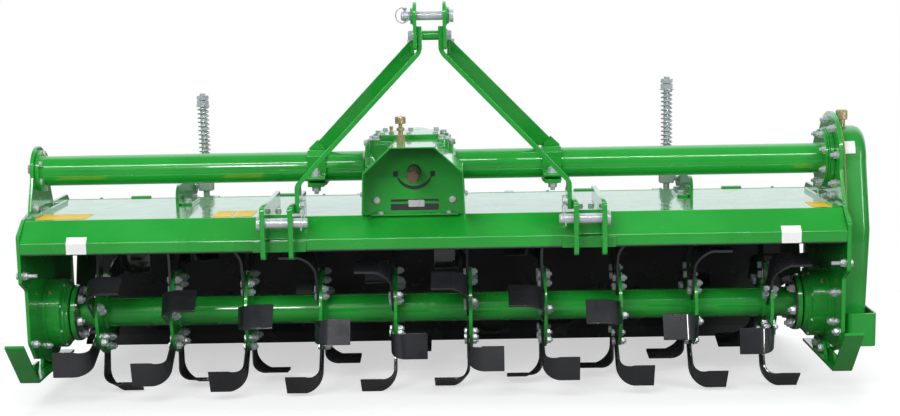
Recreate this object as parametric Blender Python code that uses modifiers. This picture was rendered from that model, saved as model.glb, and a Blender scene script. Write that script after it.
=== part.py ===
# Rotary tiller for a tractor's three-point hitch, in metres, +Z up.
# The tractor side is -Y, and +X is the machine's side with the gear case.
# The machine is drawn with Y = 0 on the rotor's axis. The empty "tiller" then moves
# it so that the middle of its bounding box stands over the origin.

import math

import bmesh
import bpy
from mathutils import Matrix, Vector

# Fit between pieces

SEAT = 0.0003            # between pieces that touch
RUNNING = 0.0008         # round a shaft that turns or slides in its bore
SUNK = 0.0006            # how far welded pieces are let into each other

# Overall places

HOOD_LONG = 2.354        # between the two side plates
HITCH_OFF = 0.0060       # from the hood's middle to the three-point hitch's middle
PTO_OFF = -0.0485        # from the hood's middle to the power input
ROUND = 24               # sides of the tubes and discs

# Rotor

DISC_COUNT = 10
DISC_FIRST = 0.168       # from the left side plate to the first disc
DISC_LAST = 0.178        # from the last disc to the right side plate
DISC_RADIUS = 0.125
DISC_THICK = 0.010
DISC_TURN = 61.0         # degrees from straight down to the first disc's first blade
DISC_TWIST = 12.0        # degrees from one disc to the next
ROTOR_TUBE_R = 0.0445
ROTOR_TUBE_WALL = 0.009
END_FLANGE_R = 0.086
END_FLANGE_THICK = 0.014
STUB_R = 0.025
STUB_BORE_R = 0.012
STUB_REACH = 0.050       # how far a stub goes into its bearing
ROTOR_END_GAP = 0.006    # between the rotor's end flange and the bearing

# Blades

BLADES_A_DISC = 6
BLADE_THICK = 0.008
BLADE_ROOT_R = 0.070
BLADE_ROOT_HALF = 0.024
BLADE_NECK_R = 0.150
BLADE_SWEEP = 0.030      # how far the root leads the wing
WING_FACE_R = 0.2372   # from the axis to the middle of the wing's outer face
WING_HALF = 0.038
WING_TILT = 30.0         # degrees the wing's leading edge is turned outwards
WING_REACH = 0.105
WING_BEND_R = 0.045
WING_BEND_STEPS = 3

# Torque tube and gearbox

TUBE_Y = -0.030
TUBE_Z = 0.697
TUBE_R = 0.0445
TUBE_WALL = 0.009
TUBE_FLANGE_THICK = 0.012
LEFT_FLANGE_R = 0.062
RIGHT_FLANGE_R = 0.092
BOX_FLANGE_R = 0.078
BOX_LEFT_OUT = 0.136     # from the power input to the box's two ends
BOX_RIGHT_OUT = 0.099
BOX_FRONT = -0.110
BOX_REAR = 0.110
BOX_TOP = 0.776
BOX_BEVEL = 0.022
REAR_COVER_R = 0.092
REAR_COVER_DEPTH = 0.085
NOSE_R = 0.062           # round nose that carries the input shaft
NOSE_DEEP = 0.100
TOP_COVER_THICK = 0.016
TOP_COVER_EDGE = 0.026   # how far the top cover stays inside the box
BREATHER_OUT = 0.037     # from the power input to the breather
BREATHER_R = 0.0155
BREATHER_HIGH = 0.074
BREATHER_Y = -0.195

# Hood

SHEET = 0.006
DECK_Z = 0.574
HOOD_REAR = 0.225
HOOD_REAR_LIP = 0.035
FOLD_Y = -0.213          # where the deck folds down to the front
NOSE_Y = -0.275          # the front face
NOSE_TOP_Z = 0.516
NOSE_BOTTOM_Z = 0.480
NOSE_RETURN = 0.038
BEAM_WIDE = 0.052
BEAM_HIGH = 0.046
BEAM_WALL = 0.005

# Side plates and gear case

PLATE_LEFT_THICK = 0.010
PLATE_RIGHT_THICK = 0.012
PLATE_LEFT_TOP_R = 0.075
PLATE_RIGHT_TOP_R = 0.139
PLATE_TOE_R = 0.150      # bottom edge, about the rotor's axis
PLATE_TOE_START = -30.0  # where that arc starts and stops, in degrees
PLATE_TOE_STOP = -125.0
PLATE_TOE_FRONT = (-0.175, 0.155)
PLATE_FRONT_RISE = 0.022  # above the nose's fold
PLATE_FOLD_RISE = 0.003  # above the deck's fold
PLATE_STEP_Z = 0.400
PLATE_STEP_Y = -0.223
PLATE_STEP_FALL = 0.188  # how far the step's upright runs down
PLATE_STEP_SLANT = 0.030
PLATE_NECK_OUT = 0.043   # how far the neck widens to the deck
PLATE_NECK_RISE = 0.015  # where it meets the plate's shoulders, above the deck
PLATE_REAR_Y = 0.268
PLATE_REAR_LOW_Z = 0.285
PLATE_REAR_NOTCH = 0.020
CASE_DEEP = 0.083
CASE_TOP_R = 0.098
CASE_TOE_R = 0.152
CASE_WAIST_Z = 0.500
CASE_WAIST_FRONT = -0.180
CASE_WAIST_REAR = 0.128
CASE_WALL = 0.012
CASE_RIM = ((0.000, 0.034), (0.005, 0.013), (0.020, 0.0))  # drawn in, and below the outer face
CAP_R = 0.017
CAP_OUT = 0.026          # from the right side plate to the cap
CAP_HIGH = 0.044
GUARD_OUT = 0.010        # how far the guard stands out of the case
GUARD_BOX_Y = -0.190
GUARD_BOX_REAR = 0.105
GUARD_BOX_LOW = 0.160
GUARD_BOX_HIGH = 0.258
GUARD_IN = 0.018         # from the right side plate to the guard's inner edge

# Rotor bearings

BEARING_R = 0.105
BEARING_STEP_R = 0.094
BEARING_RIM = 0.052
BEARING_DEPTH = 0.072

# Skids

SKID_WIDE = 0.055
SKID_OUT = {"left": 0.0245, "right": 0.019}  # how far a skid stands out of its side plate
SKID_THICK = 0.008
SKID_Z = 0.096
SKID_REAR = 0.150
SKID_HEEL = -0.235
SKID_FRONT = -0.360
SKID_TIP_Z = 0.233
SKID_LUG_THICK = 0.010
SKID_LUG_HIGH = {"left": 0.150, "right": 0.045}
SKID_LUG_HALF = 0.085

# Lower hitch

CLEVIS_SPREAD = 0.880    # between the middles of the two ball ends
CLEVIS_GAP = 0.065
HITCH_PLATE_THICK = 0.014
HITCH_PIN_Y = -0.310
HITCH_PIN_Z = 0.570
HITCH_PIN_R = 0.0143
HITCH_PIN_HEAD_R = 0.022
HITCH_PIN_HEAD = 0.010
HITCH_PIN_TAIL = 0.040
HITCH_FRONT_Y = -0.335
HITCH_BOTTOM_Z = 0.468
HITCH_TOP_Z = 0.618
HITCH_REAR_Y = 0.030
BASE_THICK = 0.008
BASE_SIDE = 0.030        # how far a base plate runs out past its hitch plates
BASE_EDGE = 0.002

# Mast

STRAP_THICK = 0.013
STRAP_HALF = 0.030
STRAP_Y = -0.235
STRAP_FOOT_Z = 0.590
STRAP_LOW_BEND_Z = 0.671
STRAP_TOP_BEND_Z = 1.044
STRAP_HEAD_HIGH = 0.068  # above the upper bend
EAR_GAP = 0.0723         # between the inner faces of the two ears
EAR_THICK = 0.010
EAR_CLEAR = 0.003        # from the strap's upper bend up to the ear
EAR_FRONT = -0.285
EAR_REAR = -0.190
EAR_TOP_R = 0.039
BOSS_R = 0.024
BOSS_THICK = 0.008
TOP_PIN_UP = 0.097       # above the straps' upper bend
TOP_PIN_Y = -0.250
TOP_PIN_R = 0.0127
TOP_PIN_HEAD_R = 0.019
TOP_PIN_HEAD = 0.012
TOP_PIN_TAIL = 0.026
SPACER_UP = 0.042        # above the straps' upper bend
SPACER_R = 0.0135
BRACE_WIDE = 0.040
BRACE_THICK = 0.010
BRACE_HEAD_DOWN = 0.016  # below the straps' upper bend
BRACE_CLEAR = 0.0025     # behind the strap at the brace's head
BRACE_FOOT_IN = 0.020    # from the clamp's middle in to the middle of the brace's foot
CLAMP_WIDE = 0.056
CLAMP_WALL = 0.007
CLAMP_LEDGE = 0.040
CLAMP_LEDGE_THICK = 0.012
CLAMP_LEDGE_UP = 0.0185  # above the clamp's lowest edge
CLAMP_OUT = 0.0325       # from the middle of a clevis in to the middle of a clamp, in plates

# Power input and its guard

PTO_Z = 0.700
PTO_R = 0.0175
PTO_END_Y = -0.362
PTO_POCKET = 0.030
GUARD_FRONT = -0.330
GUARD_PLATE_THICK = 0.005
GUARD_SHEET = 0.004
GUARD_FOOT_HALF = 0.146
GUARD_SHOULDER_HALF = 0.141
GUARD_SHOULDER_Z = 0.708
GUARD_ROOF_HALF = 0.062
GUARD_ROOF_Z = 0.781
GUARD_CUT_R = 0.046
GUARD_CUT_RISE = 0.012
GUARD_SHAFT_GAP = 0.006
GUARD_SLOT_HALF = 0.060
GUARD_SLOT_LOW = 0.598
GUARD_SLOT_HIGH = 0.618

# Rear board and its spring rods

HINGE_Y = 0.248
HINGE_Z = 0.562
HINGE_BAR_R = 0.010
KNUCKLE_R = 0.018
KNUCKLE_LONG = 0.060
KNUCKLES = 5
LUG_LONG = 0.030
BOARD_SIDE = 0.008       # gap to the side plates
BOARD_SHEET = 0.005
BOARD_TOP_OUT = 0.0125   # from the hinge's axis back to the sheet's top edge
BOARD_TOP_DOWN = 0.0100  # and down to it
BOARD_LOW_FOLDS = ((0.420, 0.375), (0.548, 0.190), (0.626, 0.040))
BOARD_WING_TOP = 0.30    # share of the first length where an end wing starts
BOARD_WING_FRONT = ((0.256, 0.292), (0.284, 0.382))
BOARD_WING_THICK = 0.005
BOARD_SHOE_Y = 0.630
BOARD_SHOE_HALF = 0.009
BOARD_SHOE_HIGH = 0.060
RIB_DEEP = 0.034
RIB_THICK = 0.008
RIBS = 4
RIB_END = 0.090          # from the board's end to the first rib
ROD_SPREAD = 0.747       # from the hood's middle to a spring rod
ROD_Y = 0.335
ROD_R = 0.010
ROD_TAIL = 0.007         # above its nut
EYE_Z = 0.495
EYE_R = 0.0150
EYE_BORE_R = 0.0105
EYE_HALF = 0.010
EYE_PIN_R = 0.0075
EYE_LUG_THICK = 0.008
EYE_LUG_GAP = 0.006
SWIVEL_Z = 0.600
SWIVEL_HALF = 0.018
SWIVEL_WIDE = 0.046
TRUNNION_R = 0.012
SPRING_R = 0.019         # outer radius
SPRING_WIRE_R = 0.0025
SPRING_PITCH = 0.0136
SPRING_TURNS = {"left": 17, "right": 19}
SPRING_STEPS = 8
NUT_R = 0.021
NUT_HIGH = 0.036
ROD_BRACKET_OUT = 0.037  # from a rod out to the middle of its bracket
ROD_BRACKET_THICK = 0.010
ROD_BRACKET_FRONT = 0.040
ROD_BRACKET_HIGH = 0.062

# Values that follow from those above


def wing_depth(turn):
    """How far below the axis a blade's wing reaches when it stands TURN from straight down."""
    tilt = math.radians(WING_TILT)
    skin = BLADE_THICK / 2
    depths = []
    for half in (-WING_HALF, WING_HALF):
        along = half * math.cos(tilt) - skin * math.sin(tilt)
        out = WING_FACE_R - skin + half * math.sin(tilt) + skin * math.cos(tilt)
        depths.append(out * math.cos(turn) + along * math.sin(turn))
    return max(depths)


def disc_turns(index):
    """The angles of a disc's blades, from straight down towards the front, in radians."""
    step = 360.0 / BLADES_A_DISC
    first = DISC_TURN - DISC_TWIST * index
    return [math.radians(first + step * blade) for blade in range(BLADES_A_DISC)]


ROTOR_Z = max(wing_depth(turn) for index in range(DISC_COUNT) for turn in disc_turns(index))
LEFT_SIDE = SKID_OUT["left"] + PLATE_LEFT_THICK
RIGHT_SIDE = PLATE_RIGHT_THICK + SEAT + CASE_DEEP + GUARD_OUT
PLATE_LEFT_IN = LEFT_SIDE - (LEFT_SIDE + HOOD_LONG + RIGHT_SIDE) / 2
PLATE_LEFT_OUT = PLATE_LEFT_IN - PLATE_LEFT_THICK
PLATE_RIGHT_IN = PLATE_LEFT_IN + HOOD_LONG
PLATE_RIGHT_OUT = PLATE_RIGHT_IN + PLATE_RIGHT_THICK
CASE_OUT = PLATE_RIGHT_OUT + SEAT + CASE_DEEP
HOOD_X = (PLATE_LEFT_IN + PLATE_RIGHT_IN) / 2
HITCH_X = HOOD_X + HITCH_OFF
PTO_X = HOOD_X + PTO_OFF
BOX_LEFT = PTO_X - BOX_LEFT_OUT
BOX_RIGHT = PTO_X + BOX_RIGHT_OUT
DISC_PITCH = (HOOD_LONG - DISC_FIRST - DISC_LAST) / (DISC_COUNT - 1)
TOP_PIN_Z = STRAP_TOP_BEND_Z + TOP_PIN_UP
SPACER_Z = STRAP_TOP_BEND_Z + SPACER_UP
BRACE_HEAD_Z = STRAP_TOP_BEND_Z - BRACE_HEAD_DOWN
SHOE_REAR = BOARD_SHOE_Y + BOARD_SHOE_HALF
CENTRE_Y = -(min(SKID_FRONT, PTO_END_Y) + SHOE_REAR) / 2
SWIVEL_TOP = SWIVEL_Z + SWIVEL_HALF
SPRING_BASE = SWIVEL_TOP + SEAT + SPRING_WIRE_R
NUT_BASE = {
    side: SPRING_BASE + turns * SPRING_PITCH + SPRING_WIRE_R + SEAT
    for side, turns in SPRING_TURNS.items()
}
GUARD_PLATE_Y = BOX_FRONT - NOSE_DEEP
BOARD_FOLDS = ((HINGE_Y + BOARD_TOP_OUT, HINGE_Z - BOARD_TOP_DOWN), *BOARD_LOW_FOLDS)
EAR_LOW_Z = STRAP_TOP_BEND_Z + EAR_CLEAR
EAR_IN = {-1: HITCH_X - EAR_GAP / 2, 1: HITCH_X + EAR_GAP / 2}

# Materials

FINISHES = {
    # name: (colour, roughness, metallic)
    "green_paint": ((0.035, 0.33, 0.055), 0.30, 0.0),
    "black_blade": ((0.012, 0.012, 0.014), 0.35, 0.4),
    "zinc": ((0.62, 0.64, 0.66), 0.35, 1.0),
    "brass": ((0.48, 0.36, 0.14), 0.35, 1.0),
    "steel": ((0.34, 0.32, 0.30), 0.40, 1.0),
}


def material(name):
    """A Principled material in one of the finishes."""
    colour, roughness, metallic = FINISHES[name]
    result = bpy.data.materials.new(name)
    result.use_nodes = True
    shader = result.node_tree.nodes["Principled BSDF"]
    shader.inputs["Base Color"].default_value = (*colour, 1.0)
    shader.inputs["Roughness"].default_value = roughness
    shader.inputs["Metallic"].default_value = metallic
    return result


# Scene and helpers

for old in list(bpy.data.objects):
    bpy.data.objects.remove(old, do_unlink=True)

PARTS = bpy.data.collections.new("rotary_tiller")
CUTTERS = bpy.data.collections.new("cutters")
bpy.context.scene.collection.children.link(PARTS)
bpy.context.scene.collection.children.link(CUTTERS)

# Where the axes of a flat outline lie: across, up, and the way it is extruded
PLANES = {
    "YZ": Matrix(((0, 0, 1, 0), (1, 0, 0, 0), (0, 1, 0, 0), (0, 0, 0, 1))),
    "XZ": Matrix(((1, 0, 0, 0), (0, 0, -1, 0), (0, 1, 0, 0), (0, 0, 0, 1))),
    "XY": Matrix.Identity(4),
}
# How a shape that is turned about +Z comes to lie along another axis
ALONG = {
    "X": Matrix.Rotation(math.radians(90), 4, "Y"),
    "Y": Matrix.Rotation(math.radians(-90), 4, "X"),
    "Z": Matrix.Identity(4),
}


def empty(name, place, parent=None):
    """An empty at a place in the machine's own frame."""
    result = bpy.data.objects.new(name, None)
    PARTS.objects.link(result)
    result.location = place
    if parent is not None:
        result.parent = parent
    return result


def new_object(name, data, collection=PARTS):
    """A linked object."""
    result = bpy.data.objects.new(name, data)
    collection.objects.link(result)
    return result


def evaluated_mesh(source):
    """The mesh of an object with its modifiers, its loose caps welded."""
    bpy.context.view_layer.update()
    graph = bpy.context.evaluated_depsgraph_get()
    mesh = bpy.data.meshes.new_from_object(source.evaluated_get(graph))
    work = bmesh.new()
    work.from_mesh(mesh)
    bmesh.ops.remove_doubles(work, verts=work.verts, dist=1e-6)
    work.to_mesh(mesh)
    work.free()
    return mesh


def baked(source):
    """The object with its modifiers applied, or the mesh object that stands for a curve."""
    mesh = evaluated_mesh(source)
    result = new_object(source.name + "_shape", mesh, CUTTERS)
    result.matrix_world = source.matrix_world
    bpy.data.objects.remove(source, do_unlink=True)
    return result


def arc(centre, radius, start, stop, steps):
    """Points on an arc, from START to STOP degrees, both ends in."""
    angles = [math.radians(start + (stop - start) * step / steps) for step in range(steps + 1)]
    return [(centre[0] + radius * math.cos(a), centre[1] + radius * math.sin(a)) for a in angles]


def circle(centre, radius, sides=ROUND):
    """A closed loop of points round a circle."""
    return arc(centre, radius, 0.0, 360.0 - 360.0 / sides, sides - 1)


def strip(path, thick):
    """The outline of a bent sheet: a path, and the same path moved THICK to its right."""
    moved = []
    for index, point in enumerate(path):
        here = Vector(point)
        ahead = Vector(path[min(index + 1, len(path) - 1)]) - Vector(path[min(index, len(path) - 2)])
        behind = Vector(path[max(index, 1)]) - Vector(path[max(index - 1, 0)])
        side_a = Vector((ahead.y, -ahead.x)).normalized()
        side_b = Vector((behind.y, -behind.x)).normalized()
        middle = (side_a + side_b).normalized()
        moved.append(tuple(here + middle * thick / middle.dot(side_a)))
    return list(path) + moved[::-1]


def slab(name, plane, loops, low, high):
    """A flat outline, with holes where it has more than one loop, from LOW to HIGH."""
    curve = bpy.data.curves.new(name, "CURVE")
    curve.dimensions = "2D"
    curve.fill_mode = "BOTH"
    curve.extrude = (high - low) / 2
    for loop in loops:
        spline = curve.splines.new("POLY")
        spline.points.add(len(loop) - 1)
        for point, (across, up) in zip(spline.points, loop):
            point.co = (across, up, 0.0, 1.0)
        spline.use_cyclic_u = True
    source = new_object(name + "_outline", curve, CUTTERS)
    mesh = evaluated_mesh(source)
    bpy.data.objects.remove(source, do_unlink=True)
    middle = (low + high) / 2
    lift = Matrix.Translation((0.0, 0.0, -middle if plane == "XZ" else middle))
    mesh.transform(PLANES[plane] @ lift)
    return new_object(name, mesh, CUTTERS)


def lofted(name, plane, rings):
    """A solid through outlines of equally many points: RINGS lists (outline, height)."""
    mesh = bpy.data.meshes.new(name)
    work = bmesh.new()
    loops = []
    for outline, height in rings:
        loops.append([work.verts.new((across, up, height)) for across, up in outline])
    for lower, upper in zip(loops, loops[1:]):
        for index, corner in enumerate(lower):
            ahead = (index + 1) % len(lower)
            work.faces.new((corner, lower[ahead], upper[ahead], upper[index]))
    work.faces.new(loops[0][::-1])
    work.faces.new(loops[-1])
    bmesh.ops.recalc_face_normals(work, faces=work.faces)
    work.to_mesh(mesh)
    work.free()
    mesh.transform(PLANES[plane])
    return new_object(name, mesh, CUTTERS)


def turned(name, axis, centre, profile, sides=ROUND):
    """A shape turned about an axis: PROFILE lists (radius, along), closed where it ends."""
    mesh = bpy.data.meshes.new(name)
    work = bmesh.new()
    points = [work.verts.new((radius, 0.0, along)) for radius, along in profile]
    edges = list(zip(points, points[1:]))
    if profile[0][0] > 0.0:
        edges.append((points[-1], points[0]))
    for first, second in edges:
        work.edges.new((first, second))
    work.to_mesh(mesh)
    work.free()
    source = new_object(name + "_profile", mesh, CUTTERS)
    screw = source.modifiers.new("turn", "SCREW")
    screw.axis = "Z"
    screw.angle = 2 * math.pi
    screw.steps = sides
    screw.render_steps = sides
    screw.use_merge_vertices = True
    screw.merge_threshold = 1e-5
    result = baked(source)
    result.name = name
    result.data.transform(Matrix.Translation(centre) @ ALONG[axis])
    return result


def rod_profile(radius, low, high, bore=0.0):
    """The profile of a round bar, or of a sleeve where it has a bore."""
    if bore > 0.0:
        return [(radius, high), (radius, low), (bore, low), (bore, high)]
    return [(0.0, high), (radius, high), (radius, low), (0.0, low)]


def block(name, low, high, bevel=0.0):
    """A box between two corners, its edges rounded by BEVEL."""
    bpy.ops.mesh.primitive_cube_add(size=1.0)
    result = bpy.context.active_object
    result.name = name
    for collection in list(result.users_collection):
        collection.objects.unlink(result)
    CUTTERS.objects.link(result)
    size = Vector(high) - Vector(low)
    middle = (Vector(high) + Vector(low)) / 2
    result.data.transform(Matrix.Translation(middle) @ Matrix.Diagonal((*size, 1.0)))
    if bevel > 0.0:
        edge = result.modifiers.new("edge", "BEVEL")
        edge.width = bevel
        edge.segments = 1
        result = baked(result)
        result.name = name
    return result


def combined(operation, target, others):
    """TARGET joined with OTHERS, or cut by them, one after another."""
    for other in others:
        step = target.modifiers.new(operation.lower(), "BOOLEAN")
        step.operation = operation
        step.solver = "EXACT"
        step.object = other
        name = target.name
        target = baked(target)
        target.name = name
        bpy.data.objects.remove(other, do_unlink=True)
    return target


def joined(target, *others):
    """One solid of several that overlap."""
    return combined("UNION", target, others)


def cut(target, *others):
    """A solid with others taken out of it."""
    return combined("DIFFERENCE", target, others)


def piece(solid, name, body, finish, smooth=False):
    """Names a finished solid, and puts it on its body."""
    CUTTERS.objects.unlink(solid)
    PARTS.objects.link(solid)
    solid.name = name
    solid.data.name = name
    solid.data.transform(Matrix.Translation(-body.location))
    solid.parent = body
    solid.data.materials.clear()
    solid.data.materials.append(material(finish))
    if smooth:
        solid.data.shade_smooth()
        solid.data.set_sharp_from_angle(angle=math.radians(32))
    return solid


# Bodies

TILLER = empty("tiller", (0.0, CENTRE_Y, 0.0))
FRAME = empty("frame", (0.0, 0.0, 0.0), TILLER)
ROTOR = empty("rotor", (0.0, 0.0, ROTOR_Z), TILLER)
PTO = empty("pto", (PTO_X, 0.0, PTO_Z), TILLER)
REAR_BOARD = empty("rear_board_hinge", (0.0, HINGE_Y, HINGE_Z), TILLER)
SIDES = {"left": -1, "right": 1}
SWIVELS = {}
for side, sign in SIDES.items():
    ROD_PLACE = (HOOD_X + sign * ROD_SPREAD, ROD_Y, SWIVEL_Z)
    SWIVELS[side] = empty("swivel_" + side, ROD_PLACE, TILLER)
RODS = {}
for side, sign in SIDES.items():
    RODS[side] = empty("rod_" + side, SWIVELS[side].location, TILLER)

# Hood and front beam


def hood_path():
    """The hood's outer face from its rear lip over the deck and down the nose."""
    return [
        (HOOD_REAR, DECK_Z - HOOD_REAR_LIP),
        (HOOD_REAR, DECK_Z),
        (FOLD_Y, DECK_Z),
        (NOSE_Y, NOSE_TOP_Z),
        (NOSE_Y, NOSE_BOTTOM_Z),
        (NOSE_Y + NOSE_RETURN, NOSE_BOTTOM_Z),
    ]


INSIDE_LEFT = PLATE_LEFT_IN + SEAT
INSIDE_RIGHT = PLATE_RIGHT_IN - SEAT
hood = slab("hood", "YZ", [strip(hood_path()[::-1], SHEET)], INSIDE_LEFT, INSIDE_RIGHT)
piece(hood, "hood", FRAME, "green_paint")

beam_low = NOSE_BOTTOM_Z + SHEET + SEAT
beam_front = NOSE_Y + SHEET + SEAT
beam_outer = [
    (beam_front, beam_low),
    (beam_front + BEAM_WIDE, beam_low),
    (beam_front + BEAM_WIDE, beam_low + BEAM_HIGH),
    (beam_front + BEAM_HIGH - BEAM_WALL, beam_low + BEAM_HIGH),
    (beam_front, NOSE_TOP_Z - BEAM_WALL),
]
beam_inner = [
    (beam_front + BEAM_WALL, beam_low + BEAM_WALL),
    (beam_front + BEAM_WIDE - BEAM_WALL, beam_low + BEAM_WALL),
    (beam_front + BEAM_WIDE - BEAM_WALL, beam_low + BEAM_HIGH - BEAM_WALL),
    (beam_front + BEAM_HIGH - BEAM_WALL, beam_low + BEAM_HIGH - BEAM_WALL),
    (beam_front + BEAM_WALL, NOSE_TOP_Z - 2 * BEAM_WALL),
]
beam = slab("front_beam", "YZ", [beam_outer, beam_inner], INSIDE_LEFT, INSIDE_RIGHT)
piece(beam, "front_beam", FRAME, "green_paint")

# Side plates, each with the hole for the hinge bar's end


def side_outline(top_r):
    """The outline of a side plate whose head is an arc about the torque tube."""
    return [
        (PLATE_STEP_Y, PLATE_STEP_Z - PLATE_STEP_FALL),
        (PLATE_STEP_Y, PLATE_STEP_Z - PLATE_STEP_SLANT),
        (NOSE_Y, PLATE_STEP_Z),
        (NOSE_Y, NOSE_TOP_Z + PLATE_FRONT_RISE),
        (FOLD_Y, DECK_Z + PLATE_FOLD_RISE),
        (TUBE_Y - top_r - PLATE_NECK_OUT, DECK_Z + PLATE_NECK_RISE),
        *arc((TUBE_Y, TUBE_Z), top_r, 190.0, -5.0, 13),
        (TUBE_Y + top_r + PLATE_NECK_OUT, DECK_Z + PLATE_NECK_RISE),
        (PLATE_REAR_Y - PLATE_REAR_NOTCH, DECK_Z + PLATE_NECK_RISE),
        (PLATE_REAR_Y, DECK_Z + PLATE_NECK_RISE - PLATE_REAR_NOTCH),
        (PLATE_REAR_Y, PLATE_REAR_LOW_Z),
        *arc((0.0, ROTOR_Z), PLATE_TOE_R, PLATE_TOE_START, PLATE_TOE_STOP, 8),
        PLATE_TOE_FRONT,
    ]


def side_plate(name, top_r, low, high):
    """A side plate, cut for the hinge bar and for the rotor's stub."""
    loops = [
        side_outline(top_r),
        circle((HINGE_Y, HINGE_Z), HINGE_BAR_R + SEAT, 12),
    ]
    piece(slab(name, "YZ", loops, low, high), name, FRAME, "green_paint")


side_plate("side_plate_left", PLATE_LEFT_TOP_R, PLATE_LEFT_OUT, PLATE_LEFT_IN)
side_plate("side_plate_right", PLATE_RIGHT_TOP_R, PLATE_RIGHT_IN, PLATE_RIGHT_OUT)

# Gear case, a deep cover open towards the right side plate


def case_outline(inset):
    """The gear case's outline, or the same one drawn in by a wall."""
    return [
        *arc((TUBE_Y, TUBE_Z), CASE_TOP_R - inset, 180.0, 0.0, 12),
        (CASE_WAIST_REAR - inset, CASE_WAIST_Z),
        *arc((0.0, ROTOR_Z), CASE_TOE_R - inset, 0.0, -180.0, 12),
        (CASE_WAIST_FRONT + inset, CASE_WAIST_Z),
    ]


CASE_IN = PLATE_RIGHT_OUT + SEAT
case_rings = [(case_outline(0.0), CASE_IN)]
for drawn_in, below in CASE_RIM:
    case_rings.append((case_outline(drawn_in), CASE_OUT - below))
case = lofted("gear_case", "YZ", case_rings)
pocket = slab("case_pocket", "YZ", [case_outline(CASE_WALL)], CASE_IN - CASE_WALL, CASE_OUT - CASE_WALL)
piece(cut(case, pocket), "gear_case", FRAME, "green_paint")

cap_low = TUBE_Z + CASE_TOP_R + SEAT
cap = turned(
    "filler_cap", "Z", (PLATE_RIGHT_OUT + CAP_OUT, TUBE_Y, cap_low),
    [(0.0, CAP_HIGH), (CAP_R * 0.8, CAP_HIGH), (CAP_R, CAP_HIGH * 0.85),
     (CAP_R, CAP_HIGH * 0.3), (CAP_R * 0.7, 0.0), (0.0, 0.0)], 12)
piece(cap, "filler_cap", FRAME, "brass", smooth=True)

guard_rise = (GUARD_BOX_HIGH - ROTOR_Z) / (CASE_WAIST_Z - ROTOR_Z)
case_front = -CASE_TOE_R + (CASE_WAIST_FRONT + CASE_TOE_R) * guard_rise
guard_inner = PLATE_RIGHT_OUT + GUARD_IN
guard_path = [
    (guard_inner, case_front - SEAT),
    (guard_inner, GUARD_BOX_Y),
    (CASE_OUT + GUARD_OUT, GUARD_BOX_Y),
    (CASE_OUT + GUARD_OUT, GUARD_BOX_REAR),
    (CASE_OUT + SEAT, GUARD_BOX_REAR),
]
shield = slab("gear_case_guard", "XY", [strip(guard_path[::-1], SHEET)[::-1]], GUARD_BOX_LOW, GUARD_BOX_HIGH)
piece(shield, "gear_case_guard", FRAME, "green_paint")

# Torque tube in two lengths, each flanged at both ends


def flanged_tube(name, low, high, low_flange, high_flange):
    """A length of torque tube along X with a flange at each end."""
    bore = TUBE_R - TUBE_WALL
    profile = [
        (high_flange, high), (high_flange, high - TUBE_FLANGE_THICK), (TUBE_R, high - TUBE_FLANGE_THICK),
        (TUBE_R, low + TUBE_FLANGE_THICK), (low_flange, low + TUBE_FLANGE_THICK), (low_flange, low),
        (bore, low), (bore, high),
    ]
    tube = turned(name, "X", (0.0, TUBE_Y, TUBE_Z), profile)
    piece(tube, name, FRAME, "green_paint", smooth=True)


flanged_tube("torque_tube_left", INSIDE_LEFT, BOX_LEFT - SEAT, LEFT_FLANGE_R, BOX_FLANGE_R)
flanged_tube("torque_tube_right", BOX_RIGHT + SEAT, INSIDE_RIGHT, BOX_FLANGE_R, RIGHT_FLANGE_R)

# Gearbox: a cast box on the deck, a round nose in front and a round cover behind

box_low = DECK_Z + SEAT
gearbox = block("gearbox", (BOX_LEFT, BOX_FRONT, box_low), (BOX_RIGHT, BOX_REAR, BOX_TOP), BOX_BEVEL)
nose = turned("nose", "Y", (PTO_X, 0.0, PTO_Z), rod_profile(NOSE_R, GUARD_PLATE_Y + SEAT, BOX_FRONT + 0.02))
rear_cover = turned(
    "rear_cover", "Y", (PTO_X, 0.0, PTO_Z),
    [(0.0, BOX_REAR + REAR_COVER_DEPTH), (REAR_COVER_R - 0.02, BOX_REAR + REAR_COVER_DEPTH),
     (REAR_COVER_R, BOX_REAR + REAR_COVER_DEPTH - 0.02), (REAR_COVER_R, BOX_REAR - 0.02), (0.0, BOX_REAR - 0.02)])
pocket = turned(
    "pocket", "Y", (PTO_X, 0.0, PTO_Z),
    rod_profile(PTO_R + RUNNING, GUARD_PLATE_Y - 0.01, GUARD_PLATE_Y + PTO_POCKET + RUNNING), 16)
piece(cut(joined(gearbox, nose, rear_cover), pocket), "gearbox", FRAME, "green_paint", smooth=True)

cover_low = BOX_TOP + SEAT
cover = block(
    "gearbox_top_cover",
    (BOX_LEFT + TOP_COVER_EDGE, BOX_FRONT + TOP_COVER_EDGE, cover_low),
    (BOX_RIGHT - TOP_COVER_EDGE, BOX_REAR - TOP_COVER_EDGE, cover_low + TOP_COVER_THICK), 0.004)
piece(cover, "gearbox_top_cover", FRAME, "green_paint")

breather = turned(
    "breather", "Z", (PTO_X - BREATHER_OUT, BREATHER_Y, GUARD_ROOF_Z + SEAT),
    [(0.0, BREATHER_HIGH), (BREATHER_R * 0.9, BREATHER_HIGH), (BREATHER_R, BREATHER_HIGH * 0.96),
     (BREATHER_R, BREATHER_HIGH * 0.74), (BREATHER_R * 0.45, BREATHER_HIGH * 0.70),
     (BREATHER_R * 0.45, BREATHER_HIGH * 0.58), (BREATHER_R * 0.75, BREATHER_HIGH * 0.54),
     (BREATHER_R * 0.75, 0.0), (0.0, 0.0)], 12)
piece(breather, "breather", FRAME, "brass", smooth=True)

# Guard over the power input: a folded sheet round a back plate

shaft_cut_r = PTO_R + GUARD_SHAFT_GAP


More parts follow.
